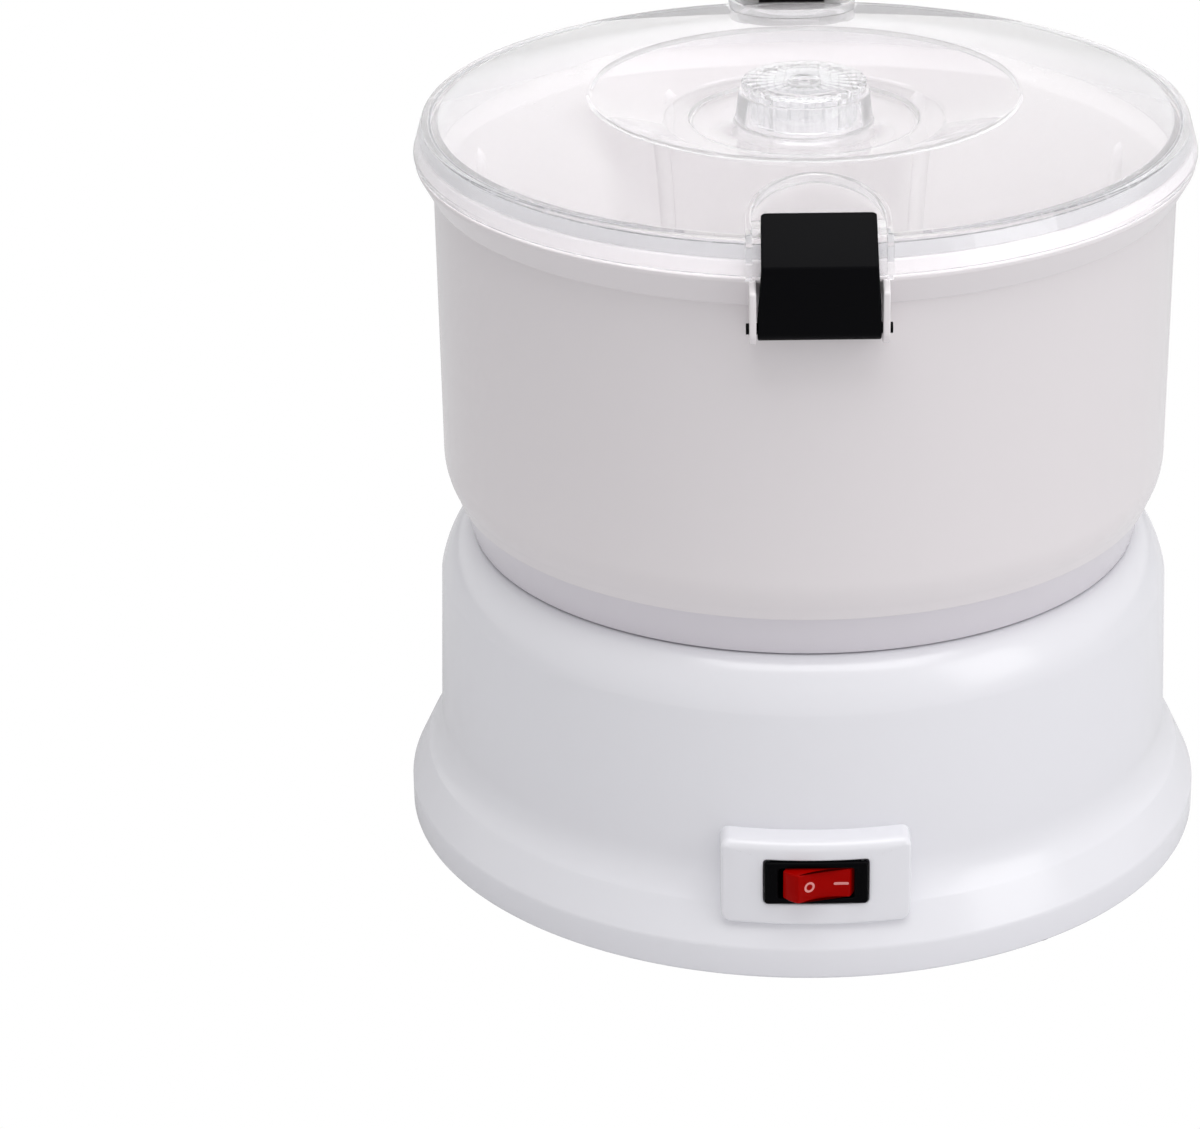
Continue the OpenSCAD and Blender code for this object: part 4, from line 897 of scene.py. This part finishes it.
lid_corners = [
    (LID_R, 0, 0.4), (LID_R, 0.9, 0.3), (117.7, 9.1, 0.5), (EDGE_R, cone(EDGE_R), 0.9),
    (66.9, 17.04, 1.2), (65.7, 17.2, 1.2), (64.7, 16.85, 1), (44, 9, 1), (43, 8.5, 0.8),
    (35.5, 8.5, 0.6), (35, 7.5, 0.6), (21.2, 7.5, 0.8), (20, 17.1, 0.5), (18.4, 17.1, 0.5),
    (19.6, 7.5, 0.6), (2, 7.5, 0.2), (2, 5.3, 0.2), (34.4, 5.3, 0.6), (35.2, 6.3, 0.6),
    (43.8, 6.3, 0.8), (65.3, 14.7, 1), (66.5, 14.8, 1), (112.3, cone(112.3) - LID_WALL, 0.4),
    (112.3, -3, 0.5), (113.9, -3, 0.6), (113.9, 7.9, 0.3), (115, 7.9, 0.4),
    (117.8, 0.9, 0.3), (117.8, 0, 0.3),
]
lid_body = built("lid_body", turned(filleted(lid_corners, 5), 288) + [0, 0, RIM], clear)

ARCH_W, ARCH_L, ARCH_IN, ARCH_T, ARCH_UP, ARCH_END = 20.8, 28.0, 80.0, 1.9, 2.8, 121.6
arch_middle = ARCH_IN + ARCH_L


def arch_path(inset):
    """Path of the wall (x, y): a leg, half an ellipse and a leg, for one inset."""
    angle = np.radians(np.linspace(0, 180, 61))
    width, length = ARCH_W - inset, ARCH_L - inset
    x, y = width * np.cos(angle), length * np.sin(angle) - arch_middle
    leg = np.linspace(-ARCH_END, -arch_middle, 15)[:-1]
    x = np.concatenate([0 * leg + width, x, 0 * leg - width])
    return np.stack([x, np.concatenate([leg, y, leg[::-1]])], 1)


across = np.array([0, 0.05, 0.25, 0.75, 0.95, 1, 1, 0])
raised = np.array([0, 0.55, 0.93, 0.93, 0.55, 0, 0, 0])
is_top = np.array([1, 1, 1, 1, 1, 1, 0, 0])
wall_rings = []
for share, rise, top in zip(across, raised, is_top):
    path = arch_path(ARCH_T * share)
    r = np.hypot(path[:, 0], path[:, 1])
    crown = np.interp(r, [EDGE_R, LID_R, ARCH_END + 2], [SKIRT, SKIRT - 0.6, SKIRT - 2])
    crown = np.where(r < EDGE_R, cone(r), crown) + ARCH_UP - 0.6 + rise * 0.64
    sole = np.interp(r, [EDGE_R - 1, LID_R - 1.1, LID_R - 1], [SKIRT - 1.5, 0.6, 0.05])
    sole = np.where(r < EDGE_R - 1, cone(r) - 1.2, sole)
    z = np.where(top > 0, crown, sole)
    wall_rings.append(np.concatenate([path, z[:, None]], 1))
wall_grid = np.array(wall_rings).transpose(1, 0, 2) + [0, 0, RIM]

seat_in, seat_sum = 110.2, 125.206
seat_outline = filleted(
    [(seat_in, cone(110) - 1, 0.1), (113.4, 7.95, 0.1), (114.9, 7.95, 0.1), (117.6, 2.0, 0.1),
     (118.3, 2.0, 0.3), (seat_sum - SKIRT, SKIRT + 0.2, 0.5), (seat_in, seat_sum - seat_in, 0.6)]
)
room_outline = np.array(
    [(118.4, -1), (129, -1), (129, 19), (seat_sum - SKIRT, 19),
     (seat_sum - SKIRT, SKIRT + 0.2), (118.4, 2.2)]
)
seat_grid = to_front(carried(seat_outline, 4.0, 0.02, 2)) + [0, 0, RIM]
room_grid = to_front(carried(room_outline, ARCH_W - ARCH_T, 0.02, 2)) + [0, 0, RIM]
for name, turn in (("front", lambda grid: grid), ("rear", half_turn)):
    solid(lid_body, built("room", turn(room_grid), clear, capped=True))
    for side in (-1, 1):
        pad = turn(seat_grid + [side * (ARCH_W - ARCH_T - 3.9), 0, 0])
        solid(lid_body, built("seat", pad, clear, capped=True), "UNION")
    solid(lid_body, built("wall", turn(wall_grid), clear, capped=True), "UNION")
placed(lid_body, "lid", "clear", "lid")

KNOB_Z, KNOB_TEETH = RIM + 7.5, 26


def flutes(r, z, angle):
    """Scallops of 0.9 mm in what stands further out than 15.5 mm from the axis."""
    depth = np.clip((r - 15.5) / 1.5, 0, 1) * 0.9
    return -depth * (0.5 + 0.5 * np.cos(KNOB_TEETH * angle)) ** 1.6


knob_outline = filleted(
    [(4.5, 0.05, 0.3), (1.75, 0.05, 0.1), (1.75, 8, 0.1), (0, 8, 0), (0, 12.0, 0),
     (1.5, 12.1, 0.5), (3.2, 12.5, 2), (4.6, 13, 1.5), (19.3, 13, 0.9), (19.3, 10.8, 0.7),
     (17.2, 10.7, 0.4), (17.2, 0.05, 0.3), (14.5, 0.05, 0.3), (14.5, 11, 1), (4.5, 11, 1)]
)
knob_body = built("knob_body", turned(knob_outline, 416, flutes) + [0, 0, KNOB_Z], knob_clear)
placed(knob_body, "lid", "clear", "lid_knob")

# %% [markdown]
# ## Floor, room and lamps
# The object stands on a pale floor in a white room. For the eye both are plain white, so
# the floor shows no shadow. It still sends pale light up to the object.
# For reflections it has a darker gap behind the object, like the one between two windows,
# since a glossy thing in an all-white room shows no shape at all. Its reflection is the
# greyish wedge on the front of the lid. A large softbox hangs overhead and a smaller one
# stands at the right, as the brighter right side of the base tells.

# %% Light the scene
floor_data = bpy.data.meshes.new("floor")
FLOOR_M = 6.0
corners = np.array([[-1, -1, 0], [1, -1, 0], [1, 1, 0], [-1, 1, 0]]) * FLOOR_M
floor_data.from_pydata(corners.tolist(), [], [(0, 1, 2, 3)])
floor = bpy.data.objects.new("floor", floor_data)
bpy.context.scene.collection.objects.link(floor)


def floor_paint(g):
    pale = g.node("ShaderNodeBsdfDiffuse", None, colour(0.80, 0.80, 0.81))
    bright = g.node("ShaderNodeEmission", None, colour(1, 1, 1), 1.0)
    seen = g.node("ShaderNodeLightPath", output="Is Camera Ray")
    return g.node("ShaderNodeMixShader", None, seen, pale, bright)


floor_data.materials.append(material("floor", floor_paint))

bpy.context.scene.view_settings.view_transform = "Standard"
world = bpy.data.worlds.new("studio")
bpy.context.scene.world = world
world.use_nodes = True
g = Graph(world.node_tree)
path = g.node("ShaderNodeLightPath", output="Is Camera Ray")
glossy = g.node("ShaderNodeLightPath", output="Is Glossy Ray")
through = g.node("ShaderNodeLightPath", output="Is Transmission Ray")
direction = g.node("ShaderNodeTexCoord", output="Generated")


def direction_part(axis):
    """One coordinate of the direction that a ray of light looks in."""
    return g.node("ShaderNodeSeparateXYZ", None, direction, output=axis)


DIFFUSE_LEVEL, ROOM_LEVEL, GAP_DEPTH = 0.52, 1.12, 0.74
height = direction_part("Z")
sideways = direction_part("X")
beside = sideways.maths("ABSOLUTE", sideways).smoothly(0.095, 0.115)
gap = (1 - beside) * direction_part("Y").smoothly(0.0, 0.2) * height.smoothly(0.30, 0.38)
room = ROOM_LEVEL - gap * (1 - height.smoothly(0.72, 0.80)) * GAP_DEPTH
level = DIFFUSE_LEVEL + (room - DIFFUSE_LEVEL) * glossy
level = level + (1 - level) * path
level = level + (1 - level) * (through * (1 - glossy) * (1 - path))
sky = g.node("ShaderNodeBackground", None, colour(1, 1, 1), level)
g.node("ShaderNodeOutputWorld", None, sky)


def softbox(name, place, aim, size, watts):
    """A lamp with a wide face at place, turned so that it looks at aim."""
    light = bpy.data.lights.new(name, "AREA")
    light.shape = "RECTANGLE"
    light.size, light.size_y = size
    light.energy = watts
    lamp = bpy.data.objects.new(name, light)
    bpy.context.scene.collection.objects.link(lamp)
    place, aim = np.array(place, float), np.array(aim, float)
    back = (place - aim) / np.linalg.norm(place - aim)
    side = np.cross([0, 1, 0] if abs(back[2]) > 0.9 else [0, 0, 1], back)
    side /= np.linalg.norm(side)
    up = np.cross(back, side)
    matrix = np.eye(4)
    matrix[:3, 0], matrix[:3, 1], matrix[:3, 2], matrix[:3, 3] = side, up, back, place
    lamp.matrix_world = Matrix(matrix.tolist())
    return lamp


softbox("overhead", (0.12, -0.40, 1.6), (0, 0, 0.15), (1.5, 1.1), 15)
softbox("right_side", (1.5, -0.9, 0.9), (0, 0, 0.12), (0.9, 1.2), 7)

# %% Finish
print("scene built")
